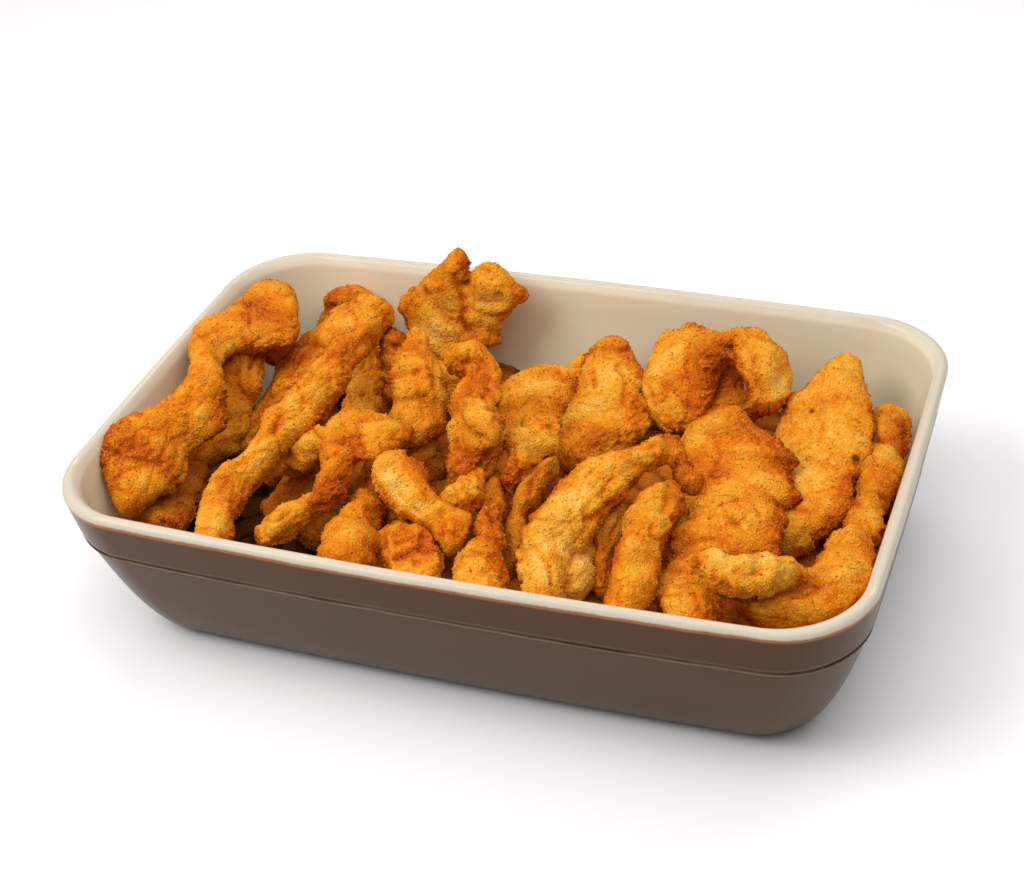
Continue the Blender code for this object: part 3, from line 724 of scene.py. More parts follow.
@dataclass
class StonewareDish:
    """The rectangular baking dish: a flared wall with a band, a ledge and a rolled lip."""

    half_length: float = 164.2
    half_width: float = 103.9
    long_side_bow: float = 4.4
    short_side_bow: float = 1.4
    height: float = 76.5
    rim_corner: float = 34.0
    base_corner: float = 20.0
    base_inset: float = 31.0
    lip_radius: float = 2.7
    ledge_drop: float = 22.0
    band_taper: float = 3.0
    ledge_step: float = 0.9
    floor_thickness: float = 8.0
    glaze_border: float = 2.7
    lip_inside: float = 3.65
    lip_drop: float = 6.5
    lip_turn: float = 168.0
    lip_swell: float = 0.9
    lip_fade: float = 8.0
    inner_inset: float = 26.0
    wall_straight: float = 0.553
    wall_power: float = 2.9
    ledge_bulge: float = 0.85
    ledge_half: float = 0.55
    ledge_sink: float = 0.1
    ledge_foot: float = 0.8
    ledge_top: float = 0.7
    over_rim: float = 3.0
    closing: float = 2.0
    deepest_glaze: float = 30.0

    def wall_law(self, s: np.ndarray) -> np.ndarray:
        """Give the share of a wall's whole inset at a share of its depth.

        A straight slope is mixed with the quarter of a rounded square, so that the wall is
        steep above and turns in round below.

        Args:
            s: Share of the depth, from 0 to 1.

        Returns:
            Share of the inset.
        """
        round_share = 1 - (1 - s**self.wall_power) ** (1 / self.wall_power)
        return self.wall_straight * s + (1 - self.wall_straight) * round_share

    def outline(self, inset: np.ndarray, height: np.ndarray, steps: int = 10) -> np.ndarray:
        """Lay rounded rectangles at the given insets and heights.

        Each is a straight-sided rounded rectangle. Its x grows with the distance from
        the short sides' ends and its y with that from the long sides' ends, so that all
        four sides bow out.

        Args:
            inset: Distance in from the rim's widest line, one for each ring.
            height: Height of each ring.
            steps: Points on an eighth of a corner.

        Returns:
            Array of ring, place round it and coordinate.
        """
        a = (self.half_length - inset)[:, None]
        b = (self.half_width - inset)[:, None]
        shrink = np.clip(inset / self.base_inset, 0, 1)[:, None]
        corner = self.rim_corner - (self.rim_corner - self.base_corner) * shrink
        corner = np.minimum(corner, np.minimum(a, b) - 0.5)
        turn = np.linspace(0, np.pi / 2, 4 * steps + 1)
        arc_x = a - corner + corner * np.cos(turn)
        arc_y = b - corner + corner * np.sin(turn)
        run = np.linspace(1, -1, 9 * steps + 1)[1:-1]
        side_x = (a - corner) * run
        side_y = b + 0 * side_x
        drop = np.linspace(1, -1, 5 * steps + 1)[1:-1]
        end_y = (b - corner) * drop
        end_x = -a + 0 * end_y
        half_x = np.hstack((arc_x, side_x, -arc_x[:, ::-1], end_x))
        half_y = np.hstack((arc_y, side_y, arc_y[:, ::-1], end_y))
        x = np.hstack((half_x, -half_x))
        y = np.hstack((half_y, -half_y))
        bowed_x = x * (1 + self.short_side_bow / self.half_length * (1 - (y / self.half_width) ** 2))
        bowed_y = y * (1 + self.long_side_bow / self.half_width * (1 - (x / self.half_length) ** 2))
        level = np.broadcast_to(height[:, None], x.shape)
        return np.stack((bowed_x, bowed_y, level), axis=-1)

    def inner_profile(self, rows: int = 60, clearance: float = 0.0) -> tuple[np.ndarray, np.ndarray]:
        """Follow the inside wall from the lip down to the floor.

        Args:
            rows: Number of places.
            clearance: Distance kept from the wall and the floor.

        Returns:
            Insets and heights.
        """
        s = 1 - (1 - np.linspace(0, 1, rows)) ** 1.6
        top = self.height - 2 * self.lip_radius
        depth = top - self.floor_thickness
        drop = (depth - clearance) * s
        swell_out = self.lip_swell * np.exp(-drop / self.lip_fade)
        inset = 2 * self.lip_radius + clearance + self.inner_inset * self.wall_law(s) + swell_out
        return inset, top - drop

    def keep_inside(self, points: np.ndarray, clearance: float = 0.2) -> np.ndarray:
        """Move the points that lie in the wall to its inner face.

        Level with a point, the inside is a rectangle with rounded corners. The point moves
        straight back by its distance beyond that line, and less where it is over the rim.

        Args:
            points: Places in millimetres.
            clearance: Distance kept from the wall.

        Returns:
            The places, those beyond the wall moved.
        """
        inset, height = self.inner_profile(80, clearance)
        level = np.interp(points[:, 2], height[::-1], inset[::-1])
        bow_x = 1 + self.short_side_bow / self.half_length * (1 - (points[:, 1] / self.half_width) ** 2)
        bow_y = 1 + self.long_side_bow / self.half_width * (1 - (points[:, 0] / self.half_length) ** 2)
        bows = np.column_stack((bow_x, bow_y))
        flat = points[:, :2] / bows
        size = np.column_stack((self.half_length - level, self.half_width - level))
        shrink = np.clip(level / self.base_inset, 0, 1)
        corner = self.rim_corner - (self.rim_corner - self.base_corner) * shrink
        reach = np.maximum(np.abs(flat) - size + corner[:, None], 0)
        length = np.maximum(np.linalg.norm(reach, axis=1), 1e-6)
        below_rim = np.clip((self.height + self.over_rim - points[:, 2]) / self.over_rim, 0, 1)
        beyond = np.maximum(length - corner, 0) * below_rim
        moved = points.copy()
        moved[:, :2] -= np.sign(flat) * reach * (beyond / length)[:, None] * bows
        return moved

    def outer_profile(self) -> tuple[np.ndarray, np.ndarray]:
        """Follow the outside from the base's edge up to the lip.

        Returns:
            Insets and heights.
        """
        ledge = self.height - self.ledge_drop
        step = self.band_taper + self.ledge_step
        s = np.sin((1 - np.linspace(0, 1, 46)) * np.pi / 2)
        inset = step + (self.base_inset - step) * self.wall_law(s)
        height = (ledge - self.ledge_foot) * (1 - s)
        turn = np.linspace(-np.pi / 2, np.pi / 2, 9)
        round_inset = self.band_taper + self.ledge_bulge - self.ledge_bulge * np.cos(turn)
        round_inset[0] = step
        round_height = ledge + self.ledge_half * np.sin(turn) - self.ledge_sink
        band = np.linspace(0, 1, 14)[1:]
        band_inset = self.band_taper * (1 - band)
        band_start = ledge + self.ledge_top
        band_height = band_start + (self.height - self.lip_radius - band_start) * band
        return (np.concatenate((inset, round_inset, band_inset)),
                np.concatenate((height, round_height, band_height)))

    def lip_profile(self) -> tuple[np.ndarray, np.ndarray]:
        """Roll over the lip, a quarter of a circle outside and a quarter of an oval inside.

        Returns:
            Insets and heights.
        """
        turn = np.radians(np.linspace(0, self.lip_turn, 37)[1:-1])
        inside = turn > np.pi / 2
        across = np.where(inside, self.lip_inside, self.lip_radius)
        rise = np.where(inside, self.lip_drop, self.lip_radius)
        return self.lip_radius - across * np.cos(turn), self.height - rise + rise * np.sin(turn)

    def build(self, relief: Randomness, material: bpy.types.Material) -> bpy.types.Object:
        """Carry the wall's profile round the dish.

        The surface is a function of the place along the profile and the place round the
        dish. Rings drawn in to the centre close the floor and the base. The attribute
        glaze is the distance along the profile below the border of the two glazes.

        Args:
            relief: Random values for the thrown surface's slight waves.
            material: The two glazes.

        Returns:
            The dish.
        """
        outer = self.outer_profile()
        lip = self.lip_profile()
        inner = self.inner_profile()
        reach = self.half_width - self.closing
        base_share = np.array([0.0, 0.35, 0.7, 0.9])
        base = (reach - (reach - self.base_inset) * base_share, np.zeros(len(base_share)))
        floor_share = np.linspace(0, 1, 14)[1:]
        floor_start = inner[0][-1]
        floor = (floor_start + (reach - floor_start) * floor_share,
                 np.full(len(floor_share), self.floor_thickness))
        inset = np.concatenate((base[0], outer[0], lip[0], inner[0], floor[0]))
        height = np.concatenate((base[1], outer[1], lip[1], inner[1], floor[1]))
        rings = self.outline(inset, height)
        border = self.height - self.glaze_border
        top = len(base[0]) + len(outer[0]) + len(lip[0]) // 2
        along = np.cumsum(np.hypot(np.diff(inset, prepend=inset[0]), np.diff(height, prepend=height[0])))
        down_inside = np.minimum(self.glaze_border + along - along[top], self.deepest_glaze)
        drop = np.where(np.arange(len(inset)) < top, border - height, -down_inside)
        skin = closed_grid(rings)
        field_drop = np.concatenate((np.repeat(drop, rings.shape[1]), (border, -self.deepest_glaze)))
        field_drop = field_drop + 0.35 * relief.at(skin.points, 19.0)
        field_drop = field_drop + 0.18 * relief.at(skin.points, 5.0)
        above = ease(skin.points[:, 2], 1.0, 14.0)
        skin.push(0.16 * relief.at(skin.points + 31, 34.0) * above)
        mesh = mesh_from("dish_glazed", skin, {"glaze": field_drop})
        return show("dish_glazed", mesh, material, ("dish",))


@dataclass
class LowerLayer:
    """The heap's lower part, which shows only between the pieces above it."""

    dish: StonewareDish
    across: tuple = (-140, -105, -70, -35, 0, 35, 70, 105, 140)
    deep: tuple = (90, 60, 30, 0, -30, -60, -90)
    tops: tuple = (
        (28, 30, 32, 34, 26, 32, 36, 28, 24),
        (24, 30, 34, 34, 30, 38, 38, 34, 30),
        (20, 34, 36, 38, 32, 42, 42, 38, 36),
        (18, 24, 36, 44, 46, 42, 46, 44, 38),
        (18, 22, 24, 40, 48, 46, 50, 42, 38),
        (20, 22, 24, 38, 44, 48, 50, 46, 42),
        (28, 32, 36, 42, 46, 50, 50, 52, 46),
    )
    ridge: float = 4.0
    ridge_pitch: float = 31.0
    clearance: float = 0.35
    centre_share: float = 0.004
    inset_steps: int = 160
    corner_steps: int = 12
    top_rings: int = 100
    wall_rings: int = 30
    base_rings: int = 7
    # Painted shade: the layer is coloured browner than the pieces and darkened all over, and more below
    # low_level, so that the gaps between the pieces look shaded.
    browning_and_painted_light: float = 0.64
    painted_shade: float = 0.3
    low_painted_shade: float = 0.62
    low_level: float = 37.0

    def top(self, x: np.ndarray, y: np.ndarray) -> np.ndarray:
        """Height of the layer: a grid of heights with ridges like strips lying askew.

        Args:
            x: Places along the dish.
            y: Places across it.

        Returns:
            Heights in millimetres.
        """
        table = np.array(self.tops, dtype=float)
        place_x = np.clip(np.interp(x, self.across, np.arange(len(self.across))), 0, len(self.across) - 1.001)
        rows = np.arange(len(self.deep))
        place_y = np.clip(np.interp(-y, [-row for row in self.deep], rows), 0, len(self.deep) - 1.001)
        i, j = place_y.astype(int), place_x.astype(int)
        s, t = place_y - i, place_x - j
        base = ((1 - s) * (1 - t) * table[i, j] + (1 - s) * t * table[i, j + 1]
                + s * (1 - t) * table[i + 1, j] + s * t * table[i + 1, j + 1])
        lane = (0.75 * x + 0.66 * y) / self.ridge_pitch + 0.35 * np.sin(y / 26) + 0.2 * np.sin(x / 19)
        ridge = np.sqrt(np.abs(np.sin(np.pi * lane)))
        return base + self.ridge * (ridge - 0.7) + 1.2 * np.sin(x / 9 + 1.3 * np.sin(y / 14))

    def lay(self, inset: np.ndarray, height: np.ndarray) -> np.ndarray:
        """Place points whose inset and height differ round the dish.

        A point lies between the two nearest of many outlines, by the share of its inset.

        Args:
            inset: Inset of each point, by ring and place.
            height: Height of each point, by ring and place.

        Returns:
            Array of ring, place and coordinate.
        """
        grid = np.linspace(inset.min(), inset.max(), self.inset_steps)
        table = self.dish.outline(grid, np.zeros(len(grid)), self.corner_steps)
        at = np.clip((inset - grid[0]) / max(grid[1] - grid[0], TINY), 0, len(grid) - 1.001)
        row = at.astype(int)
        place = np.arange(inset.shape[1])[None, :]
        part = (at - row)[..., None]
        rings = (1 - part) * table[row, place] + part * table[row + 1, place]
        rings[..., 2] = height
        return rings

    def build(self, relief: Randomness, fine: Randomness, material: bpy.types.Material) -> bpy.types.Object:
        """Fill the dish's lower part with one crusted layer.

        Rings run from the centre of the top out to the wall, down the wall and back to
        the centre of the floor. The rings of the top and the floor are the ring at the
        wall, drawn in towards the centre by an even share. A top point's height follows
        the layer's rule.

        Args:
            relief: Random values for the larger forms.
            fine: Random values for the smaller ones.
            material: The crust's finish.

        Returns:
            The layer.
        """
        dish = self.dish
        wall_inset, wall_height = dish.inner_profile(120, self.clearance)
        edge = dish.outline(np.array([wall_inset[0]]), np.zeros(1), self.corner_steps)[0]
        rim_level = self.top(edge[:, 0], edge[:, 1])
        order = np.argsort(wall_height)
        rim_inset = np.interp(rim_level, wall_height[order], wall_inset[order])
        rim = self.lay(rim_inset[None, :], rim_level[None, :])[0]
        top = rim * np.linspace(self.centre_share, 1, self.top_rings)[:, None, None]
        top[..., 2] = self.top(top[..., 0], top[..., 1])
        top[-1, :, 2] = rim_level
        down = 1 - np.linspace(0, 1, self.wall_rings)[1:, None]
        down_height = wall_height[-1] + (rim_level - wall_height[-1]) * down
        side = self.lay(np.interp(down_height, wall_height[order], wall_inset[order]), down_height)
        back = side[-1] * np.linspace(1, self.centre_share, self.base_rings)[1:, None, None]
        back[..., 2] = wall_height[-1]
        skin = closed_grid(np.concatenate((top, side, back))[::-1])
        start = skin.points + 811.0
        free = ease(skin.points[:, 2] - 12, 0, 8)
        puff = np.sqrt(np.abs(relief.at(start, 12.0)) + 0.01)
        # Painted shade and highlight: the valleys between puffs are coloured browner and the tops paler.
        shade = self.browning_and_painted_light + 0.3 * (0.5 - puff) + 0.14 * relief.at(start, 21.0)
        skin.push(free * (2.4 * (puff - 0.55) + 0.5 * fine.at(start, 3.0)))
        # Painted shade: darker all over, more in the valleys between puffs and most in the layer's low part.
        low = ease(self.low_level - skin.points[:, 2], 0, 9)
        dark = self.painted_shade + 0.35 * ease(0.5 - puff, 0, 0.35) + self.low_painted_shade * low
        fields = {"browning_and_painted_light": np.clip(shade, 0, 1), "char_and_painted_shade": np.clip(dark, 0, 1)}
        mesh = mesh_from("lower_layer_crust", skin, fields)
        return show("lower_layer_crust", mesh, material, ("lower_layer",))


class NodePad:
    """Short ways to add and join shader nodes."""

    def __init__(self, name: str) -> None:
        """Start a material with its shader and output.

        Args:
            name: Name for the material.
        """
        self.material = bpy.data.materials.new(name)
        self.material.use_nodes = True
        self.tree = self.material.node_tree
        self.shader = self.tree.nodes["Principled BSDF"]

    def add(self, kind: str, **settings: object) -> bpy.types.Node:
        """Add a node.

        Args:
            kind: Blender's name for its type.
            **settings: Its own settings.

        Returns:
            The node.
        """
        node = self.tree.nodes.new(kind)
        for key, value in settings.items():
            setattr(node, key, value)
        return node

    def join(self, source: bpy.types.NodeSocket, target: bpy.types.NodeSocket) -> None:
        """Link one socket to another."""
        self.tree.links.new(source, target)

    def math(self, operation: str, first: object, second: object = None,
             third: object = None, clamp: bool = False) -> bpy.types.NodeSocket:
        """Work out a number from up to three others.

        Args:
            operation: Blender's name for the sum.
            first: Socket or number.
            second: Socket or number.
            third: Socket or number.
            clamp: Whether the result stays between 0 and 1.

        Returns:
            The result's socket.
        """
        node = self.add("ShaderNodeMath", operation=operation, use_clamp=clamp)
        for index, value in enumerate((first, second, third)):
            if isinstance(value, bpy.types.NodeSocket):
                self.join(value, node.inputs[index])
            elif value is not None:
                node.inputs[index].default_value = value
        return node.outputs[0]

    def noise(self, place: bpy.types.NodeSocket, scale: float, detail: float,
              roughness: float = 0.5) -> bpy.types.NodeSocket:
        """Read a noise texture.

        Args:
            place: Coordinates in metres.
            scale: Waves in a metre.
            detail: Number of finer layers.
            roughness: Weight of the finer layers.

        Returns:
            The value's socket, from 0 to 1.
        """
        node = self.add("ShaderNodeTexNoise")
        node.inputs["Scale"].default_value = scale
        node.inputs["Detail"].default_value = detail
        node.inputs["Roughness"].default_value = roughness
        self.join(place, node.inputs["Vector"])
        return node.outputs["Fac"]

    def first_channel(self, colour: bpy.types.NodeSocket) -> bpy.types.NodeSocket:
        """Read the red channel of a colour."""
        node = self.add("ShaderNodeSeparateColor")
        self.join(colour, node.inputs[0])
        return node.outputs[0]

    def dots(self, place: bpy.types.NodeSocket, scale: float, rarity: float, radius: float,
             share: float) -> tuple[bpy.types.NodeSocket, bpy.types.NodeSocket]:
        """Scatter dots round the middles of the cells whose random value is high enough.

        Args:
            place: Coordinates in metres.
            scale: Cells in a metre.
            rarity: Random value above which a cell has a dot.
            radius: Size of a dot, as a share of a cell.
            share: Value inside a dot.

        Returns:
            The dots' value, which is 0 outside them, and the distance from a cell's middle.
        """
        node = self.add("ShaderNodeTexVoronoi")
        node.inputs["Scale"].default_value = scale
        self.join(place, node.inputs["Vector"])
        picked = self.math("GREATER_THAN", self.first_channel(node.outputs["Color"]), rarity)
        near = self.math("LESS_THAN", node.outputs["Distance"], radius)
        return self.math("MULTIPLY", self.math("MULTIPLY", picked, near), share), node.outputs["Distance"]

    def hill(self, value: bpy.types.NodeSocket, centre: float, fall: float,
             top: float = 1.0) -> bpy.types.NodeSocket:
        """Fall evenly on both sides of a centre, held between 0 and 1.

        Args:
            value: Number to read.
            centre: Where the hill is highest.
            fall: Drop for each unit away from the centre.
            top: Height at the centre before it is held.

        Returns:
            The height's socket.
        """
        off = self.math("ABSOLUTE", self.math("SUBTRACT", value, centre))
        return self.math("SUBTRACT", top, self.math("MULTIPLY", off, fall), clamp=True)

    def bump(self, height: bpy.types.NodeSocket, strength: float, distance: float) -> None:
        """Give the shader a fine relief.

        Args:
            height: Height's socket.
            strength: Share of the relief that shows.
            distance: Metres for a height of 1.
        """
        node = self.add("ShaderNodeBump")
        node.inputs["Strength"].default_value = strength
        node.inputs["Distance"].default_value = distance
        self.join(height, node.inputs["Height"])
        self.join(node.outputs["Normal"], self.shader.inputs["Normal"])

    def ramp(self, value: bpy.types.NodeSocket,
             stops: tuple[tuple[float, tuple[float, float, float]], ...]) -> bpy.types.NodeSocket:
        """Turn a number into a colour.

        Args:
            value: Number from 0 to 1.
            stops: Places and linear colours.

        Returns:
            The colour's socket.
        """
        node = self.add("ShaderNodeValToRGB")
        elements = node.color_ramp.elements
        while len(elements) < len(stops):
            elements.new(1.0)
        for element, (place, colour) in zip(elements, stops):
            element.position = place
            element.color = (*colour, 1.0)
        self.join(value, node.inputs["Fac"])
        return node.outputs["Color"]

    def blend(self, share: bpy.types.NodeSocket, low: object, high: object) -> bpy.types.NodeSocket:
        """Mix two colours.

        Args:
            share: Share of the second colour.
            low: First colour, as a socket or three numbers.
            high: Second colour, as a socket or three numbers.

        Returns:
            The mixed colour's socket.
        """
        node = self.add("ShaderNodeMix", data_type="RGBA")
        self.join(share, node.inputs[0])
        for socket, value in ((node.inputs[6], low), (node.inputs[7], high)):
            if isinstance(value, bpy.types.NodeSocket):
                self.join(value, socket)
            else:
                socket.default_value = (*value, 1.0)
        return node.outputs[2]


def linear(red: int, green: int, blue: int) -> tuple[float, float, float]:
    """Turn screen values from 0 to 255 into the shader's linear ones from 0 to 1.

    Args:
        red: Red.
        green: Green.
        blue: Blue.

    Returns:
        Linear colour.
    """
    shares = np.array((red, green, blue)) / 255
    values = np.where(shares <= 0.04045, shares / 12.92, ((shares + 0.055) / 1.055) ** 2.4)
    return tuple(float(value) for value in values)


@dataclass(frozen=True)
class FriedCrust:
    """Fried breadcrumb crust: pale to red-brown, grainy, with a little oil on it.

    Scales count waves or cells in a metre. Each pattern's share is its weight in the
    place on the row of colours, and level takes off their mean.
    """

    stops: tuple = (
        (0.00, (233, 184, 92)),
        (0.20, (227, 158, 44)),
        (0.40, (218, 130, 18)),
        (0.58, (204, 106, 8)),
        (0.74, (183, 82, 5)),
        (0.88, (150, 58, 4)),
        (1.00, (100, 32, 3)),
    )
    # Colour of burnt specks, also used for painted shade on pieces deep in the heap.
    char_and_painted_shade: tuple = (26, 10, 2)
    crumb: tuple = (250, 214, 140)
    patch_scale: float = 150.0
    patch_share: float = 0.34
    grain_scale: float = 620.0
    grain_share: float = 0.30
    sand_scale: float = 1500.0
    sand_share: float = 0.34
    level: float = 0.49
    crumb_dots: tuple = (1150.0, 0.80, 0.42, 0.20)
    speck_dots: tuple = (210.0, 0.965, 0.09, 0.8)
    roughness: float = 0.34
    roughness_spread: float = 0.35
    shine: float = 0.07
    glow: float = 0.12
    glow_colour: tuple = (1.0, 0.62, 0.25)
    glow_depth: float = 0.0016
    bump_strength: float = 0.8
    bump_distance: float = 0.0005

    def material(self) -> bpy.types.Material:
        """Build the finish.

        The browning attribute, the frying tone with painted shade and painted highlights in it,
        with fine noise picks the colour. Pale crumbs and dark specks are dots. The second
        attribute, burnt flecks and painted shade together, darkens on top.

        Returns:
            The material.
        """
        pad = NodePad("fried_crust")
        place = pad.add("ShaderNodeTexCoord").outputs["Object"]
        # Frying tone, with painted shade in creases and valleys and painted highlights on swells and puffs.
        browning_and_painted_light = pad.add("ShaderNodeAttribute", attribute_name="browning_and_painted_light").outputs["Fac"]
        # Burnt flecks and painted shade.
        char_and_painted_shade = pad.add("ShaderNodeAttribute", attribute_name="char_and_painted_shade").outputs["Fac"]
        patches = pad.noise(place, self.patch_scale, 5.0, 0.6)
        grain = pad.noise(place, self.grain_scale, 3.0, 0.7)
        sand = pad.noise(place, self.sand_scale, 1.0, 0.5)
        value = pad.math("MULTIPLY_ADD", patches, self.patch_share, browning_and_painted_light)
        value = pad.math("MULTIPLY_ADD", grain, self.grain_share, value)
        value = pad.math("MULTIPLY_ADD", sand, self.sand_share, value)
        value = pad.math("SUBTRACT", value, self.level, clamp=True)
        colour = pad.ramp(value, tuple((at, linear(*shade)) for at, shade in self.stops))
        crumbs, off_crumb = pad.dots(place, *self.crumb_dots)
        colour = pad.blend(crumbs, colour, linear(*self.crumb))
        specks, _ = pad.dots(place, *self.speck_dots)
        colour = pad.blend(pad.math("MAXIMUM", specks, char_and_painted_shade), colour, linear(*self.char_and_painted_shade))
        pad.join(colour, pad.shader.inputs["Base Color"])

        rough = pad.math("MULTIPLY_ADD", grain, self.roughness_spread, self.roughness)
        pad.join(rough, pad.shader.inputs["Roughness"])
        pad.shader.inputs["Specular IOR Level"].default_value = self.shine
        pad.shader.inputs["Subsurface Weight"].default_value = self.glow
        pad.shader.inputs["Subsurface Radius"].default_value = self.glow_colour
        pad.shader.inputs["Subsurface Scale"].default_value = self.glow_depth
        rise = pad.math("MULTIPLY_ADD", grain, 0.8, pad.math("SUBTRACT", sand, off_crumb))
        pad.bump(rise, self.bump_strength, self.bump_distance)
        return pad.material


@dataclass(frozen=True)
class TwoGlazes:
    """Stoneware glazed cream inside and on the lip, and taupe brown outside, with a rust line.

    The glaze attribute is the distance in millimetres below the border of the two glazes,
    negative on the cream, and the places here are on that scale. Scales count waves in a metre.
    """

    cream: tuple = (227, 216, 186)
    cream_thin: tuple = (223, 208, 176)
    # Painted highlight on the inner wall just below the lip.
    cream_painted_highlight: tuple = (242, 231, 207)
    # Painted shade on the lip's top.
    cream_lip_painted_shade: tuple = (200, 190, 172)
    rust: tuple = (150, 76, 4)
    taupe: tuple = (80, 52, 26)
    taupe_dark: tuple = (70, 44, 20)
    taupe_edge: tuple = (172, 150, 126)
    rust_at: float = 0.45
    rust_share: float = 0.9
    edge_at: float = 19.2
    edge_share: float = 0.4
    lip_at: float = -2.0
    border_scale: float = 420.0
    mottle_scale: float = 38.0
    mottle_share: float = 0.35
    speckle_scale: float = 900.0
    ripple_scale: float = 185.0
    ripple_bend: float = 1.2
    ripple_share: float = 0.6
    swell_scale: float = 130.0
    roughness: float = 0.08
    taupe_roughness: float = 0.2
    shine: float = 0.2
    bump_strength: float = 0.10
    bump_distance: float = 0.0006

    def material(self) -> bpy.types.Material:
        """Build the finish.

        The cream is painted lighter on the inner wall just below the lip, a painted highlight,
        and darker on the lip's top, painted shade. A noise moves the border, where the cream
        meets the taupe under the rust line. A line along the ledge's edge is lighter. Fine
        rows run round the lip in the relief alone.

        Returns:
            The material.
        """
        pad = NodePad("two_glazes")
        place = pad.add("ShaderNodeTexCoord").outputs["Object"]
        glaze = pad.add("ShaderNodeAttribute", attribute_name="glaze").outputs["Fac"]
        wavy = pad.noise(place, self.border_scale, 3.0)
        border = pad.math("MULTIPLY_ADD", wavy, 0.5, pad.math("SUBTRACT", glaze, 0.25))
        outside = pad.math("MULTIPLY_ADD", border, 1.3, -0.7, clamp=True)
        line = pad.hill(border, self.rust_at, 1.15, 1.45)
        mottle = pad.math("MULTIPLY", pad.noise(place, self.mottle_scale, 4.0), self.mottle_share)
        cream = pad.blend(mottle, linear(*self.cream), linear(*self.cream_thin))
        # Painted highlight: lighter cream on the inner wall below the lip, fading downwards.
        highlight_below_lip = pad.math("MULTIPLY_ADD", glaze, 0.1, 1.8, clamp=True)
        cream = pad.blend(highlight_below_lip, cream, linear(*self.cream_painted_highlight))
        # Painted shade: darker cream on the lip's top.
        lip = pad.math("MULTIPLY_ADD", glaze, 0.29, 2.3, clamp=True)
        cream = pad.blend(lip, cream, linear(*self.cream_lip_painted_shade))
        speckle = pad.noise(place, self.speckle_scale, 2.0)
        taupe = pad.blend(speckle, linear(*self.taupe), linear(*self.taupe_dark))
        colour = pad.blend(outside, cream, taupe)
        # A lighter line along the ledge's edge.
        ledge_line = pad.math("MULTIPLY", pad.hill(glaze, self.edge_at, 1.6), self.edge_share)
        colour = pad.blend(ledge_line, colour, linear(*self.taupe_edge))
        colour = pad.blend(pad.math("MULTIPLY", line, self.rust_share), colour, linear(*self.rust))
        pad.join(colour, pad.shader.inputs["Base Color"])

        rough = pad.math("MULTIPLY_ADD", outside, self.taupe_roughness, self.roughness)
        pad.join(rough, pad.shader.inputs["Roughness"])
        pad.shader.inputs["Specular IOR Level"].default_value = self.shine
        ripples = pad.add("ShaderNodeTexWave", bands_direction="X")
        ripples.inputs["Scale"].default_value = self.ripple_scale
        ripples.inputs["Distortion"].default_value = self.ripple_bend
        pad.join(place, ripples.inputs["Vector"])
        on_lip = pad.hill(glaze, self.lip_at, 0.3)
        rows = pad.math("MULTIPLY", ripples.outputs["Fac"], on_lip)
        rows = pad.math("MULTIPLY", rows, self.ripple_share)
        height = pad.math("ADD", rows, pad.noise(place, self.swell_scale, 3.0))
        pad.bump(height, self.bump_strength, self.bump_distance)
        return pad.material


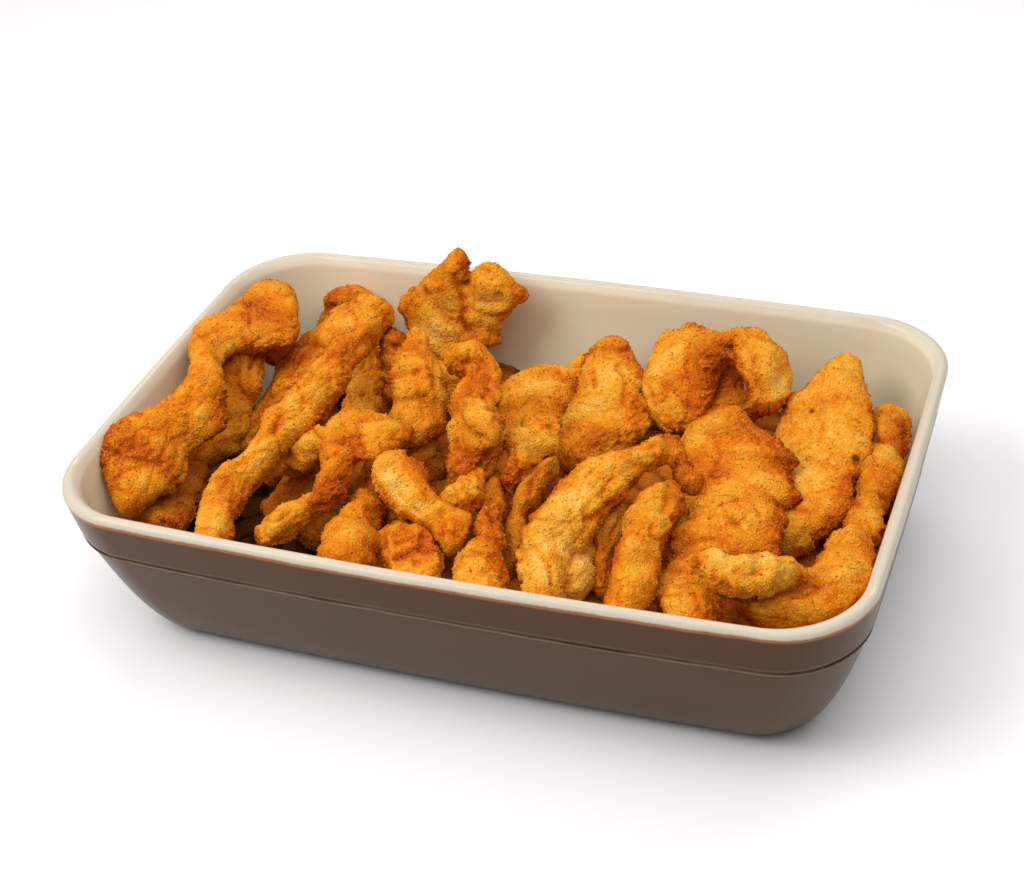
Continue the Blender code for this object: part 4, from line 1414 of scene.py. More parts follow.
# Their order gives the seeds. A station holds a left and a right edge point, in millimetres
# like the corners of a mark. The points were chosen by hand on the photograph, each with an
# estimated height, and a scratch script carried them to the part's frame and rounded them.
PIECES = (
    BreadedPiece("forked_strip", 13.5, browning_and_painted_light=0.02, frill=1.5, lobes=(
        ((-34, -16, 72, -34, -26, 72), (-44, -16, 75, -35, -34, 75), (-57, -16, 77, -42, -44, 77),
         (-68, -21, 77, -50, -46, 74), (-68, -36, 74, -50, -47, 70), (-65, -47, 70, -49, -53, 70),
         (-63, -57, 67, -52, -59, 67), (-71, -66, 64, -60, -72, 64), (-76, -74, 62, -66, -81, 62),
         (-82, -80, 59, -74, -86, 59)),
        ((-69, -24, 75, -59, -36, 75), (-81, -27, 69, -70, -38, 69), (-87, -30, 61, -77, -39, 61),
         (-90, -32, 55, -84, -38, 55)),
    ), marks=(
        swell(9, 1.1, (-46, -31, 83)), crease(2, 1.2, (-52, -33, 83), (-49, -40, 81), (-46, -43, 78)),
        brown(7, 0.32, (-35, -21, 76), (-34, -32, 77)), crag(6, 0.9, (-33, -20, 76), (-34, -32, 77)),
        crag(4, 1.0, (-67, -40, 75), (-61, -48, 77)), crag(5, 1.0, (-52, -57, 72), (-58, -60, 72)),
        brown(6, 0.4, (-52, -57, 72), (-56, -61, 72)), crag(4, 0.9, (-47, -45, 76)),
        brown(5, 0.35, (-47, -45, 75)), swell(5, 0.8, (-72, -36, 75)),
        ridge(4, 0.9, (-54, -35, 82), (-56, -44, 78), (-56, -52, 76)), brown(4, 0.3, (-77, -37, 58)),
        crease(2, 1.2, (-56, -39, 81), (-58, -47, 77)), swell(4, 0.6, (-64, -72, 69)),
    )),
    BreadedPiece("centre_curl", 15.5, browning_and_painted_light=0.06, puff=1.3, lobes=(
        ((-26, 17, 84, -18, 21, 84), (-22, 5, 83, -11, 7, 83), (-23, -7, 81, -4, -3, 81),
         (-20, -18, 79, 2, -13, 79), (-16, -27, 76, 5, -22, 76), (-15, -32, 72, 5, -29, 72),
         (-16, -38, 66, -3, -37, 66), (-16, -41, 60, -9, -42, 60)),
        ((-37, 19, 84, -32, 11, 84), (-31, 24, 86, -26, 11, 86), (-22, 26, 87, -18, 13, 87),
         (-10, 16, 86, -14, 9, 86), (-4, 4, 83, -10, 1, 83), (-3, -7, 80, -9, -6, 80)),
        ((-13, -11, 85, -9, -8, 85), (-11, -22, 86, -1, -15, 86), (0, -32, 84, 5, -22, 84),
         (3, -31, 80, 6, -24, 80)),
    ), marks=(
        swell(7, 1.4, (-4, -24, 92)), swell(6, 1.5, (4, -31, 85)), swell(6, 0.8, (-19, -20, 78)),
        pale(5, 0.7, (-23, -1, 87)), brown(7, 0.2, (-20, 8, 88), (-12, -9, 88)),
        crease(2, 1.5, (-11, -22, 86), (-6, -29, 86), (0, -31, 86)),
        crease(2, 1.4, (-8, -6, 87), (0, -19, 90), (4, -27, 90)),
        crease(1.6, 2.0, (-17, -27, 78), (-12, -29, 80)),
        crease(2.2, 1.4, (-13, -30, 78), (-6, -33, 79), (2, -31, 77)),
        crag(5, 0.9, (-2, -36, 76), (3, -31, 75)), brown(6, 0.3, (-1, -35, 76)),
        brown(7, 0.16, (-10, -40, 75)), swell(5, 0.7, (-22, 15, 93)),
        crease(2, 1.4, (-25, 12, 88), (-22, 13, 90), (-17, 14, 90)), crag(4, 0.6, (-35, 14, 87)),
    )),
    BreadedPiece("top_finger", 15.5, browning_and_painted_light=-0.22, frill=1.2, puff=0.8, lobes=(
        ((96, -75, 78, 99, -81, 78), (102, -75, 80, 106, -87, 80), (114, -73, 80, 119, -90, 80),
         (126, -69, 79, 130, -83, 79), (134, -68, 77, 136, -75, 77), (138, -70, 76, 140, -72, 76)),
    ), marks=(
        crag(5, 1.0, (100, -82, 85), (103, -84, 83)), brown(6, 0.32, (100, -83, 84)),
        brown(5, 0.3, (110, -88, 82), (120, -89, 81), (128, -85, 81)), swell(8, 0.9, (122, -84, 87)),
        swell(6, 0.7, (110, -82, 86)), brown(6, 0.34, (138, -73, 78)),
        crease(2, 0.9, (116, -86, 86), (121, -86, 85), (125, -83, 86)),
        crag(4, 0.7, (108, -88, 83), (113, -89, 81)),
    )),
    BreadedPiece("front_fillet", 16, browning_and_painted_light=-0.08, frill=0.9, puff=0.75, lobes=(
        ((64, -10, 80, 74, -17, 80), (55, -24, 82, 66, -31, 79), (43, -33, 82, 64, -41, 78),
         (36, -43, 79, 57, -55, 76), (33, -57, 76, 55, -66, 72), (29, -69, 73, 51, -73, 69),
         (31, -81, 69, 51, -81, 66), (38, -92, 65, 53, -90, 63), (41, -95, 60, 53, -94, 60)),
        ((40, -57, 62, 51, -52, 62), (43, -69, 62, 56, -64, 62), (45, -80, 61, 59, -74, 61),
         (47, -87, 60, 60, -85, 60)),
    ), marks=(
        brown(2.6, 0.6, (46, -82, 75)), crease(2.2, 1.6, (65, -34, 80), (59, -50, 78), (54, -62, 79)),
        crease(2.2, 1.3, (50, -73, 68), (53, -87, 65)),
        ridge(4.5, 1.2, (64, -36, 83), (57, -51, 81), (52, -61, 80)),
        crease(2, 1.0, (56, -48, 83), (52, -58, 81), (53, -63, 79)),
        crag(5, 0.8, (33, -75, 75), (33, -81, 71)), brown(6, 0.28, (31, -74, 75)),
        crag(5, 0.7, (66, -21, 85)), swell(8, 1.0, (54, -76, 67)), swell(8, 0.6, (45, -62, 82)),
        swell(7, 0.7, (41, -90, 72)), crease(2, 1.2, (38, -79, 76), (46, -86, 74), (49, -92, 71)),
        crag(5, 0.7, (36, -49, 83), (36, -54, 80)), brown(4, 0.3, (36, -50, 82)),
        pale(6, 0.3, (41, -84, 74)), fleck(0.6, 0.7, (50, -61, 81)), fleck(0.6, 0.6, (40, -71, 78)),
        crease(1.8, 1.0, (58, -33, 88), (57, -40, 86)), swell(4, 0.8, (56, -39, 86)),
        brown(5, 0.16, (49, -31, 86)),
    )),
    BreadedPiece("long_front", 15.5, browning_and_painted_light=0.06, puff=1.1, lobes=(
        ((-81, 52, 77, -75, 45, 77), (-85, 35, 79, -76, 27, 79), (-89, 21, 80, -74, 10, 80),
         (-91, -2, 80, -71, -8, 80), (-96, -18, 78, -74, -24, 78), (-96, -33, 75, -81, -38, 75),
         (-98, -49, 72, -84, -51, 72), (-104, -63, 70, -86, -66, 70), (-103, -78, 69, -86, -80, 69),
         (-100, -90, 66, -84, -91, 66), (-99, -94, 62, -84, -94, 62)),
        ((-94, -21, 78, -84, -23, 78), (-92, -31, 71, -84, -32, 71), (-92, -40, 63, -85, -39, 63),
         (-93, -44, 56, -89, -46, 56)),
    ), marks=(
        crease(2.4, 1.8, (-93, -20, 82), (-86, -35, 82), (-91, -49, 78)), brown(3.4, 0.5, (-81, 8, 87)),
        brown(3, 0.4, (-76, 31, 82), (-79, 16, 86)), swell(6, 1.2, (-84, -27, 84)),
        swell(7, 0.9, (-86, -53, 76)), swell(8, 1.0, (-92, -91, 73)),
        brown(8, 0.22, (-92, -79, 75), (-97, -85, 74)),
        crag(4, 0.8, (-79, 11, 87), (-73, -3, 84), (-72, -14, 80)), brown(5, 0.2, (-73, -3, 84)),
        crease(2.2, 1.4, (-83, 8, 87), (-85, 0, 85), (-83, -16, 87)),
        crease(2, 1.1, (-88, -51, 78), (-94, -65, 78)),
        ridge(4, 1.0, (-87, -45, 80), (-93, -59, 78), (-97, -75, 77)), swell(6, 0.8, (-79, -17, 86)),
        crag(3.5, 0.6, (-96, -60, 78)),
    )),
    BreadedPiece("back_fan", 13.5, browning_and_painted_light=-0.08, frill=1.2, puff=0.75, lobes=(
        ((-56, 95, 93, -53, 93, 93), (-63, 87, 88, -50, 84, 88), (-72, 88, 80, -49, 81, 80),
         (-81, 84, 71, -49, 77, 71), (-84, 82, 62, -50, 75, 62), (-78, 77, 53, -49, 71, 53),
         (-64, 67, 42, -42, 66, 42), (-59, 60, 32, -44, 59, 32)),
        ((-45, 94, 88, -36, 94, 88), (-50, 91, 84, -30, 91, 84), (-53, 85, 79, -23, 87, 79),
         (-55, 84, 70, -29, 84, 70), (-56, 79, 61, -35, 80, 61), (-59, 76, 51, -37, 76, 51)),
    ), marks=(
        crease(2.8, 1.8, (-69, 78, 79), (-63, 75, 73), (-56, 73, 67)),
        ridge(5, 1.6, (-41, 81, 83), (-44, 78, 72), (-47, 73, 62)),
        brown(3.5, 0.5, (-51, 76, 67), (-45, 73, 61)), crease(2.4, 1.4, (-51, 76, 68), (-45, 73, 60)),
        crease(2.4, 1.6, (-37, 93, 87), (-37, 83, 85), (-34, 81, 80)), brown(5, 0.25, (-25, 86, 79)),
        crease(3, 1.6, (-53, 79, 87), (-51, 79, 80), (-50, 77, 72)), swell(8, 0.8, (-61, 76, 75)),
        swell(7, 0.8, (-65, 69, 58)), brown(5, 0.2, (-52, 87, 93)), brown(6, 0.16, (-77, 76, 65)),
        crag(4, 0.6, (-69, 84, 83)), ridge(5, 1.0, (-31, 81, 77), (-36, 78, 67)),
        crag(3, 0.6, (-24, 88, 79)),
    )),
    BreadedPiece("pale_hook", 11, cup=0.22, browning_and_painted_light=0.06, frill=1.4, puff=0.5, lobes=(
        ((-39, -54, 80, -37, -43, 80), (-33, -61, 79, -27, -43, 79), (-28, -66, 76, -18, -48, 76),
         (-20, -69, 72, -11, -54, 72), (-10, -70, 68, -3, -55, 68), (-3, -77, 66, 4, -55, 66),
         (2, -81, 64, 7, -67, 64)),
    ), marks=(
        pale(4.5, 0.95, (-29, -57, 83), (-21, -64, 78), (-15, -68, 75)),
        hollow(4.5, 2.2, (-28, -58, 83), (-21, -64, 78), (-15, -68, 75)),
        ridge(2.6, 1.6, (-25, -50, 82), (-18, -52, 79), (-13, -58, 76), (-7, -62, 73)),
        brown(3, 0.45, (-24, -48, 82), (-17, -52, 79), (-13, -59, 76)),
        ridge(2.4, 1.2, (-33, -61, 81), (-28, -64, 75), (-21, -67, 71)),
        brown(2.6, 0.4, (-29, -65, 79), (-22, -68, 75), (-13, -69, 67)), swell(4, 0.8, (-35, -54, 82)),
        swell(6, 1.0, (1, -75, 69)), crease(1.5, 1.4, (-22, -62, 79), (-16, -66, 76), (-13, -67, 74)),
        brown(9, 0.3, (2, -73, 69)), crease(1.8, 1.6, (-2, -69, 71), (-1, -77, 68)),
    )),
    BreadedPiece("arched_fillet", 12.5, browning_and_painted_light=-0.09, frill=1.2, puff=0.6, lobes=(
        ((44, 41, 46, 34, 71, 57), (62, 37, 51, 42, 83, 68), (70, 44, 57, 53, 84, 73),
         (70, 56, 68, 66, 77, 76), (77, 56, 79, 78, 74, 80), (87, 45, 76, 90, 73, 78),
         (92, 38, 66, 100, 70, 72), (99, 39, 62, 105, 59, 65)),
    ), marks=(
        crag(5, 1.0, (70, 57, 74), (69, 47, 61), (68, 42, 55), (58, 36, 49)),
        brown(6, 0.42, (70, 57, 73), (69, 48, 62), (68, 42, 55), (58, 36, 48)), swell(8, 1.0, (51, 75, 72)),
        swell(8, 0.9, (46, 62, 65)), brown(6, 0.18, (61, 54, 66)), brown(7, 0.16, (51, 49, 60)),
        crease(2.2, 1.0, (56, 70, 72), (57, 61, 68), (63, 51, 64)),
        crease(2.2, 1.0, (47, 55, 61), (56, 49, 62), (63, 44, 59)),
        crag(4, 1.0, (77, 57, 82), (84, 47, 76), (92, 38, 68)),
        brown(3.6, 0.4, (77, 58, 82), (84, 48, 75), (93, 38, 66)), swell(8, 1.2, (99, 49, 72)),
        hollow(4, 1.4, (97, 58, 77)), brown(4, 0.25, (97, 58, 77)), brown(5, 0.28, (97, 41, 64)),
        pale(9, 0.4, (91, 59, 82), (99, 53, 74)), fleck(1, 0.6, (82, 70, 84)), brown(6, 0.2, (68, 69, 80)),
        crease(2.4, 1.2, (73, 66, 83), (71, 60, 81), (77, 57, 81)),
        crease(2, 0.9, (89, 54, 82), (89, 47, 79), (95, 43, 72)),
    )),
    BreadedPiece("front_bar", 16, browning_and_painted_light=0.02, frill=0.9, puff=0.6, lobes=(
        ((69, -33, 72, 80, -27, 72), (67, -45, 74, 83, -37, 74), (66, -62, 75, 84, -55, 75),
         (67, -76, 73, 84, -67, 73), (69, -88, 69, 85, -79, 69), (68, -92, 66, 86, -91, 66),
         (69, -94, 61, 86, -94, 61), (69, -93, 54, 83, -92, 54)),
    ), marks=(
        brown(4, 0.42, (80, -30, 80), (83, -41, 77), (83, -63, 76)),
        crag(4, 0.7, (80, -31, 79), (83, -41, 77), (82, -65, 77)),
        ridge(4, 1.3, (80, -32, 79), (83, -43, 77), (82, -66, 78)), brown(5, 0.25, (68, -46, 80)),
        crease(2.4, 1.3, (78, -40, 82), (80, -47, 80), (79, -65, 81)), swell(4, 1.0, (68, -64, 79)),
        brown(6, 0.28, (67, -88, 70)), swell(10, 0.6, (79, -79, 78)), brown(5, 0.2, (85, -78, 74)),
        swell(9, 0.5, (77, -52, 82)),
    )),
    BreadedPiece("long_right", 15.5, browning_and_painted_light=-0.04, frill=0.7, puff=0.5, lobes=(
        ((116, 80, 66, 127, 84, 66), (112, 72, 65, 133, 70, 67), (106, 60, 63, 137, 50, 66),
         (101, 43, 57, 142, 29, 64), (102, 24, 54, 142, 13, 61), (107, 5, 51, 140, -6, 57),
         (106, -11, 48, 133, -19, 52), (107, -25, 44, 126, -27, 46)),
    ), marks=(
        fleck(1.5, 1.0, (116, 40, 68)), fleck(1.7, 0.8, (138, 18, 64)), fleck(0.8, 0.7, (135, 13, 64)),
        fleck(0.8, 0.6, (134, 38, 68)), swell(9, 0.8, (122, -1, 61)),
        brown(8, 0.16, (129, 52, 71), (136, 33, 67)), crag(4, 0.8, (132, 69, 67), (135, 59, 67)),
        brown(5, 0.2, (133, 65, 67)), crease(2.4, 0.5, (120, 13, 64), (132, 9, 64), (140, 18, 63)),
        crease(2, 0.44, (117, 44, 69), (122, 32, 66), (123, 19, 66)), swell(10, 0.6, (122, 58, 73)),
        swell(8, 0.6, (128, 27, 67)), brown(8, 0.12, (132, 22, 67)),
        crease(2, 0.44, (119, -12, 57), (127, -13, 59)), pale(8, 0.3, (126, 4, 63)),
    )),
    BreadedPiece("left_twist", 15.5, browning_and_painted_light=0.02, frill=0.8, puff=0.9, lobes=(
        ((-142, 78, 68, -128, 65, 68), (-149, 79, 71, -119, 50, 71), (-152, 70, 74, -117, 33, 74),
         (-153, 54, 76, -124, 23, 76), (-156, 33, 77, -134, 17, 77), (-153, 14, 77, -135, 7, 77),
         (-145, -2, 76, -127, -8, 76), (-148, -15, 74, -125, -14, 69), (-152, -28, 74, -123, -26, 65),
         (-157, -42, 75, -128, -36, 60), (-158, -55, 74, -127, -49, 56), (-156, -63, 64, -132, -59, 55),
         (-153, -67, 54, -138, -64, 51), (-151, -67, 47, -141, -68, 46)),
        ((-131, 51, 67, -122, 57, 67), (-133, 44, 63, -121, 48, 63), (-133, 35, 59, -124, 37, 59)),
    ), marks=(
        swell(7, 1.9, (-137, 60, 80)), swell(5, 1.8, (-125, 54, 78)), swell(6, 2.0, (-126, 32, 80)),
        crease(1.8, 2.4, (-139, 46, 82), (-128, 45, 80), (-120, 52, 73)), swell(6, 1.6, (-141, 36, 84)),
        crease(2.0, 2.0, (-141, 45, 82), (-132, 31, 83), (-131, 22, 79)), brown(6, 0.22, (-123, 44, 79)),
        ridge(5, 1.2, (-154, 27, 81), (-151, 9, 78), (-135, -12, 80)),
        crease(2.2, 1.0, (-143, 20, 84), (-136, 11, 74), (-128, -8, 76)),
        crease(2.0, 1.1, (-133, -18, 78), (-136, -27, 77)),
        brown(7, 0.34, (-150, -54, 76), (-142, -54, 72), (-134, -54, 67)),
        crag(5, 0.7, (-148, -54, 74), (-134, -54, 67)),
        crease(2.2, 1.3, (-155, -58, 73), (-147, -59, 70), (-134, -55, 67)), swell(8, 0.9, (-137, -62, 65)),
        crease(1.8, 1.4, (-142, -66, 62), (-143, -67, 49)), brown(7, 0.2, (-147, -69, 51)),
        ridge(5, 1.2, (-136, -12, 81), (-145, -31, 77), (-157, -44, 75)), pale(8, 0.4, (-137, 25, 84)),
        brown(6, 0.2, (-137, -9, 82)), brown(16, 0.3, (-131, 55, 79), (-129, 36, 81)),
        brown(12, 0.16, (-137, 30, 85)),
    )),
    BreadedPiece("big_plate", 14.5, browning_and_painted_light=0.11, frill=1.2, puff=0.55, lobes=(
        ((76, 25, 71, 90, 28, 71), (71, 13, 70, 101, 21, 70), (69, 3, 67, 113, 11, 67),
         (72, -9, 64, 118, 1, 64), (75, -21, 61, 122, -8, 61), (76, -30, 56, 119, -13, 56),
         (80, -35, 51, 113, -23, 51)),
    ), marks=(
        swell(10, 1.1, (75, 5, 71)), crease(2.2, 0.66, (89, -13, 69), (100, -9, 68), (108, -3, 69)),
        crease(2.2, 0.66, (81, -20, 65), (94, -21, 65), (106, -14, 67)),
        crease(2, 0.55, (88, -27, 62), (98, -25, 62), (108, -19, 64)),
        crease(2, 0.66, (84, 8, 73), (89, -3, 72), (88, -13, 69)),
        crag(5, 1.0, (109, 11, 70), (115, 4, 69)), brown(6, 0.4, (109, 10, 71), (114, 3, 69)),
        crag(4, 0.9, (120, -9, 63), (117, -15, 58)), brown(4, 0.3, (121, -9, 60)),
        swell(10, 0.7, (99, -3, 72)), swell(9, 0.7, (96, -15, 67)), swell(8, 0.6, (111, -11, 67)),
        swell(7, 0.7, (83, 12, 76)), crease(2, 0.5, (92, 14, 76), (101, 10, 72)),
        brown(7, 0.12, (78, -10, 69)),
    )),
    BreadedPiece("tall_mid", 16, frill=1.2, puff=0.6, lobes=(
        ((12, 81, 62, 23, 85, 62), (9, 74, 59, 30, 75, 59), (8, 57, 56, 38, 62, 56),
         (10, 43, 53, 43, 48, 53), (10, 26, 50, 45, 30, 50), (11, 16, 45, 40, 17, 45),
         (16, 9, 41, 35, 10, 41)),
    ), marks=(
        swell(9, 1.2, (23, 53, 62), (27, 49, 61)), swell(4, 0.9, (32, 58, 61), (37, 57, 58)),
        crease(2.2, 1.4, (17, 55, 63), (20, 48, 59)),
        crease(2, 1.0, (26, 61, 63), (33, 52, 61), (35, 40, 59)), crag(6, 1.0, (27, 20, 55), (40, 23, 52)),
        brown(7, 0.32, (28, 20, 54), (41, 24, 52)), crag(4, 0.9, (41, 46, 57), (43, 34, 54)),
        brown(5, 0.3, (41, 44, 57), (43, 33, 55)), swell(9, 0.7, (24, 32, 57)),
        crease(2.2, 1.2, (16, 41, 59), (25, 41, 61)),
        crease(2.4, 1.4, (18, 68, 66), (25, 68, 66), (28, 79, 62)), swell(5, 0.6, (23, 21, 55)),
    )),
    BreadedPiece("centre_strip", 16, browning_and_painted_light=0.02, lobes=(
        ((-62, 47, 76, -55, 48, 76), (-64, 34, 75, -48, 37, 75), (-61, 19, 72, -37, 21, 72),
         (-58, 7, 67, -33, 13, 67), (-54, 0, 60, -33, 3, 60), (-50, -3, 53, -39, -3, 53)),
    ), marks=(
        crease(2.4, 1.4, (-58, 15, 75), (-50, 15, 78), (-44, 20, 78)),
        crease(2.4, 1.4, (-58, 7, 68), (-49, 4, 72), (-41, 7, 73)), swell(7, 1.3, (-36, 15, 71)),
        swell(7, 0.9, (-51, 8, 73)), swell(6, 0.8, (-54, 20, 80)),
        crease(2.2, 1.2, (-43, 19, 77), (-39, 14, 75), (-40, 8, 73)), brown(6, 0.15, (-54, 32, 82)),
        swell(6, 0.8, (-53, 37, 81)),
    )),
    BreadedPiece("low_left_drum", 17, browning_and_painted_light=0.14, puff=0.8, lobes=(
        ((-61, -21, 52, -51, -22, 52), (-53, -44, 57, -41, -43, 57), (-48, -62, 62, -33, -61, 62),
         (-48, -78, 66, -27, -78, 66), (-46, -92, 67, -23, -91, 67), (-41, -99, 65, -24, -99, 65)),
    ), marks=(
        swell(11, 0.9, (-35, -84, 74)), swell(9, 0.6, (-34, -97, 71)), brown(6, 0.25, (-34, -61, 66)),
        brown(6, 0.2, (-24, -87, 70)), brown(6, 0.25, (-48, -45, 64)), brown(12, 0.16, (-31, -95, 75)),
        crag(4, 0.6, (-24, -84, 68)),
    )),
    BreadedPiece("nugget", 13.5, puff=1.3, lobes=(
        ((-2, -34, 69, 4, -40, 69), (-6, -42, 71, 7, -53, 71), (-9, -49, 70, 0, -58, 70),
         (-12, -50, 67, -7, -54, 67)),
    ), marks=(
        swell(6, 1.0, (3, -49, 77)), swell(5, 0.9, (-2, -56, 75)),
        crease(1.8, 1.1, (-1, -52, 76), (3, -55, 74)), fleck(0.9, 0.9, (-1, -59, 73)),
        fleck(0.8, 0.8, (5, -50, 76)), brown(4, 0.2, (4, -41, 74)),
    )),
    BreadedPiece("low_right_nub", 15.5, browning_and_painted_light=0.12, frill=1.2, lobes=(
        ((-5, -20, 59, 4, -22, 59), (2, -43, 63, 13, -43, 63), (7, -60, 65, 18, -59, 65),
         (12, -74, 67, 25, -76, 67), (9, -85, 68, 30, -87, 68), (11, -94, 65, 31, -94, 65),
         (13, -97, 61, 30, -96, 61)),
    ), marks=(
        brown(5, 0.38, (15, -60, 70), (22, -82, 76)), crag(4, 0.8, (14, -54, 69), (21, -72, 70)),
        ridge(4, 1.0, (3, -37, 67), (10, -62, 70), (17, -83, 76)),
        crease(1.8, 1.4, (8, -47, 69), (17, -67, 71)), swell(9, 1.0, (20, -95, 72)),
        crease(2.2, 1.3, (13, -89, 73), (19, -87, 75), (25, -87, 73)), brown(6, 0.25, (28, -89, 71)),
    )),
    BreadedPiece("far_right_lower", 16, puff=0.6, lobes=(
        ((141, -26, 62, 154, -29, 62), (139, -43, 65, 158, -46, 65), (134, -58, 66, 158, -64, 66),
         (124, -70, 64, 149, -76, 64), (111, -78, 60, 129, -83, 60)),
    ), marks=(
        swell(5, 1.0, (144, -36, 70)), pale(5, 0.6, (144, -36, 70)), swell(10, 0.6, (151, -58, 73)),
        fleck(0.8, 0.6, (142, -66, 73)), crease(2.2, 0.9, (134, -79, 71), (142, -72, 72), (148, -68, 72)),
        brown(6, 0.16, (156, -49, 69)),
    )),
    BreadedPiece("far_right_upper", 15.5, browning_and_painted_light=0.1, puff=0.9, painted_shade=0.1, lobes=(
        ((134, 64, 53, 152, 64, 53), (138, 41, 56, 154, 41, 56), (141, 18, 59, 156, 19, 59),
         (142, -4, 61, 156, -2, 61), (141, -19, 62, 157, -17, 62), (142, -30, 60, 156, -30, 60)),
    ), marks=(
        crease(2.2, 1.5, (142, 36, 61), (149, 32, 64), (153, 45, 57)),
        crease(2.2, 1.5, (149, -13, 69), (153, -7, 67), (157, -4, 61)),
        crag(4, 1.0, (151, 54, 59), (154, 37, 58)), brown(5, 0.34, (151, 52, 59), (153, 35, 61)),
        swell(8, 0.8, (150, 20, 66)), brown(6, 0.16, (150, 4, 67)), swell(7, 0.9, (153, -22, 67)),
        crease(2.2, 1.4, (147, -26, 67), (153, -27, 63), (157, -23, 61)),
        crag(4, 0.8, (156, -8, 63), (157, -23, 59)), brown(5, 0.2, (155, -7, 64)),
        crease(2, 1.1, (144, 11, 65), (149, 13, 66), (155, 13, 63)),
    )),
    BreadedPiece("mid_front_fold", 14.5, browning_and_painted_light=0.02, frill=1.8, lobes=(
        ((14, 5, 71, 25, -4, 71), (6, -6, 74, 27, -15, 70), (4, -19, 74, 20, -22, 69),
         (6, -26, 69, 18, -29, 66), (9, -30, 60, 15, -32, 58)),
    ), marks=(
        crag(7, 1.0, (12, -33, 71), (16, -30, 62)), brown(6, 0.34, (11, -33, 71), (16, -31, 65)),
        brown(5, 0.25, (22, -19, 71)), swell(9, 0.8, (16, -21, 78)),
        crease(2, 1.8, (13, -29, 74), (19, -25, 70), (24, -18, 71)), crag(4, 0.8, (20, -7, 78)),
        fleck(0.8, 0.6, (11, -13, 78)), brown(4, 0.2, (26, -10, 74)),
    )),
    BreadedPiece("plate_mid", 14.5, browning_and_painted_light=0.1, frill=1.2, puff=0.55, lobes=(
        ((86, -19, 62, 112, -13, 62), (83, -34, 66, 120, -27, 66), (83, -47, 67, 124, -41, 67),
         (82, -56, 65, 121, -50, 65), (83, -58, 60, 112, -53, 60)),
    ), marks=(
        fleck(1.3, 0.95, (119, -37, 71)), swell(9, 0.9, (112, -44, 73)),
        crease(2, 0.66, (102, -43, 73), (109, -47, 73), (110, -54, 71)),
        crease(2, 0.72, (89, -56, 68), (98, -54, 72), (107, -54, 71)),
        crag(4, 0.8, (120, -33, 70), (120, -45, 69)), brown(5, 0.2, (101, -50, 73)),
        brown(6, 0.25, (120, -49, 69)),
    )),
    BreadedPiece("long_back", 15.5, browning_and_painted_light=0.06, puff=1.1, lobes=(
        ((-90, 82, 67, -81, 72, 67), (-108, 78, 65, -85, 61, 65), (-119, 63, 61, -94, 49, 61),
         (-127, 50, 55, -100, 35, 55), (-128, 30, 49, -107, 22, 49), (-132, 13, 41, -116, 8, 41),
         (-135, 1, 33, -122, -2, 33)),
    ), marks=(
        brown(4, 0.25, (-94, 49, 64), (-101, 39, 59), (-107, 25, 54)),
        crease(2.4, 1.4, (-88, 61, 68), (-100, 48, 66), (-106, 38, 60)),
        crease(2.2, 1.0, (-109, 50, 66), (-114, 35, 60), (-120, 18, 53)),
        ridge(5, 0.9, (-99, 63, 70), (-110, 49, 65), (-116, 32, 58)), swell(5, 1.0, (-85, 76, 67)),
        fleck(0.9, 0.7, (-125, 0, 39)),
    )),
    BreadedPiece("mid_back", 15.5, frill=0.7, puff=0.55, lobes=(
        ((-27, 69, 45, 1, 78, 45), (-26, 48, 47, 8, 61, 47), (-20, 34, 46, 9, 42, 46),
         (-15, 24, 39, 6, 32, 39)),
    ), marks=(
        pale(10, 0.35, (-13, 51, 54)), brown(8, 0.22, (-15, 35, 52)), brown(7, 0.22, (3, 40, 52)),
        swell(10, 0.5, (-7, 52, 55)), swell(5, 0.6, (0, 73, 48)),
    )),
    BreadedPiece("front_low", 14.5, browning_and_painted_light=0.1, frill=1.2, puff=0.8, lobes=(
        ((89, -80, 64, 90, -91, 64), (95, -77, 67, 102, -96, 67), (103, -78, 68, 110, -92, 68),
         (114, -79, 69, 114, -84, 69), (123, -75, 69, 122, -80, 69)),
    ), marks=(
        crease(2, 1.3, (101, -88, 74), (105, -92, 72), (104, -95, 69)), brown(5, 0.28, (119, -81, 70)),
        crag(4, 0.9, (120, -80, 71), (117, -82, 70)), swell(8, 0.6, (96, -91, 72)),
        brown(5, 0.25, (109, -90, 72)),
    )),
    BreadedPiece("low_mid", 11.5, browning_and_painted_light=-0.02, puff=0.7, lobes=(
        ((-32, -74, 60, -24, -86, 60), (-28, -65, 62, -16, -89, 62), (-17, -62, 63, -7, -86, 63),
         (-7, -66, 62, -3, -78, 62)),
        ((-22, -83, 61, -16, -93, 61), (-14, -78, 62, -6, -96, 62), (-6, -75, 63, 3, -96, 63),
         (0, -76, 62, 4, -89, 62)),
    ), marks=(
        crease(1.8, 2.2, (-15, -87, 67), (-9, -81, 67), (0, -81, 68)),
        crease(1.8, 1.0, (-24, -83, 65), (-16, -79, 68), (-8, -73, 68)),
        crease(1.6, 0.9, (-16, -91, 63), (-6, -89, 67), (1, -84, 66)),
        brown(2.6, 0.35, (-15, -87, 67), (-9, -81, 67), (-1, -81, 67)),
        brown(4, 0.25, (-19, -73, 68), (-23, -81, 66)), crag(5, 0.7, (-1, -81, 67)),
        brown(5, 0.2, (-21, -87, 62)),
    )),
    BreadedPiece("plate_low", 14.5, browning_and_painted_light=0.08, puff=0.7, lobes=(
        ((91, -50, 62, 108, -49, 62), (83, -60, 62, 108, -62, 62), (81, -73, 60, 102, -75, 60),
         (82, -80, 57, 98, -81, 57)),
    ), marks=(
        crease(2, 1.2, (89, -75, 68), (97, -69, 68), (103, -66, 67)), swell(8, 0.7, (92, -78, 65)),
    )),
    BreadedPiece("mid_strip", 14.5, browning_and_painted_light=0.06, lobes=(
        ((-95, 54, 65, -82, 54, 65), (-92, 40, 60, -77, 43, 60), (-89, 26, 54, -71, 29, 54),
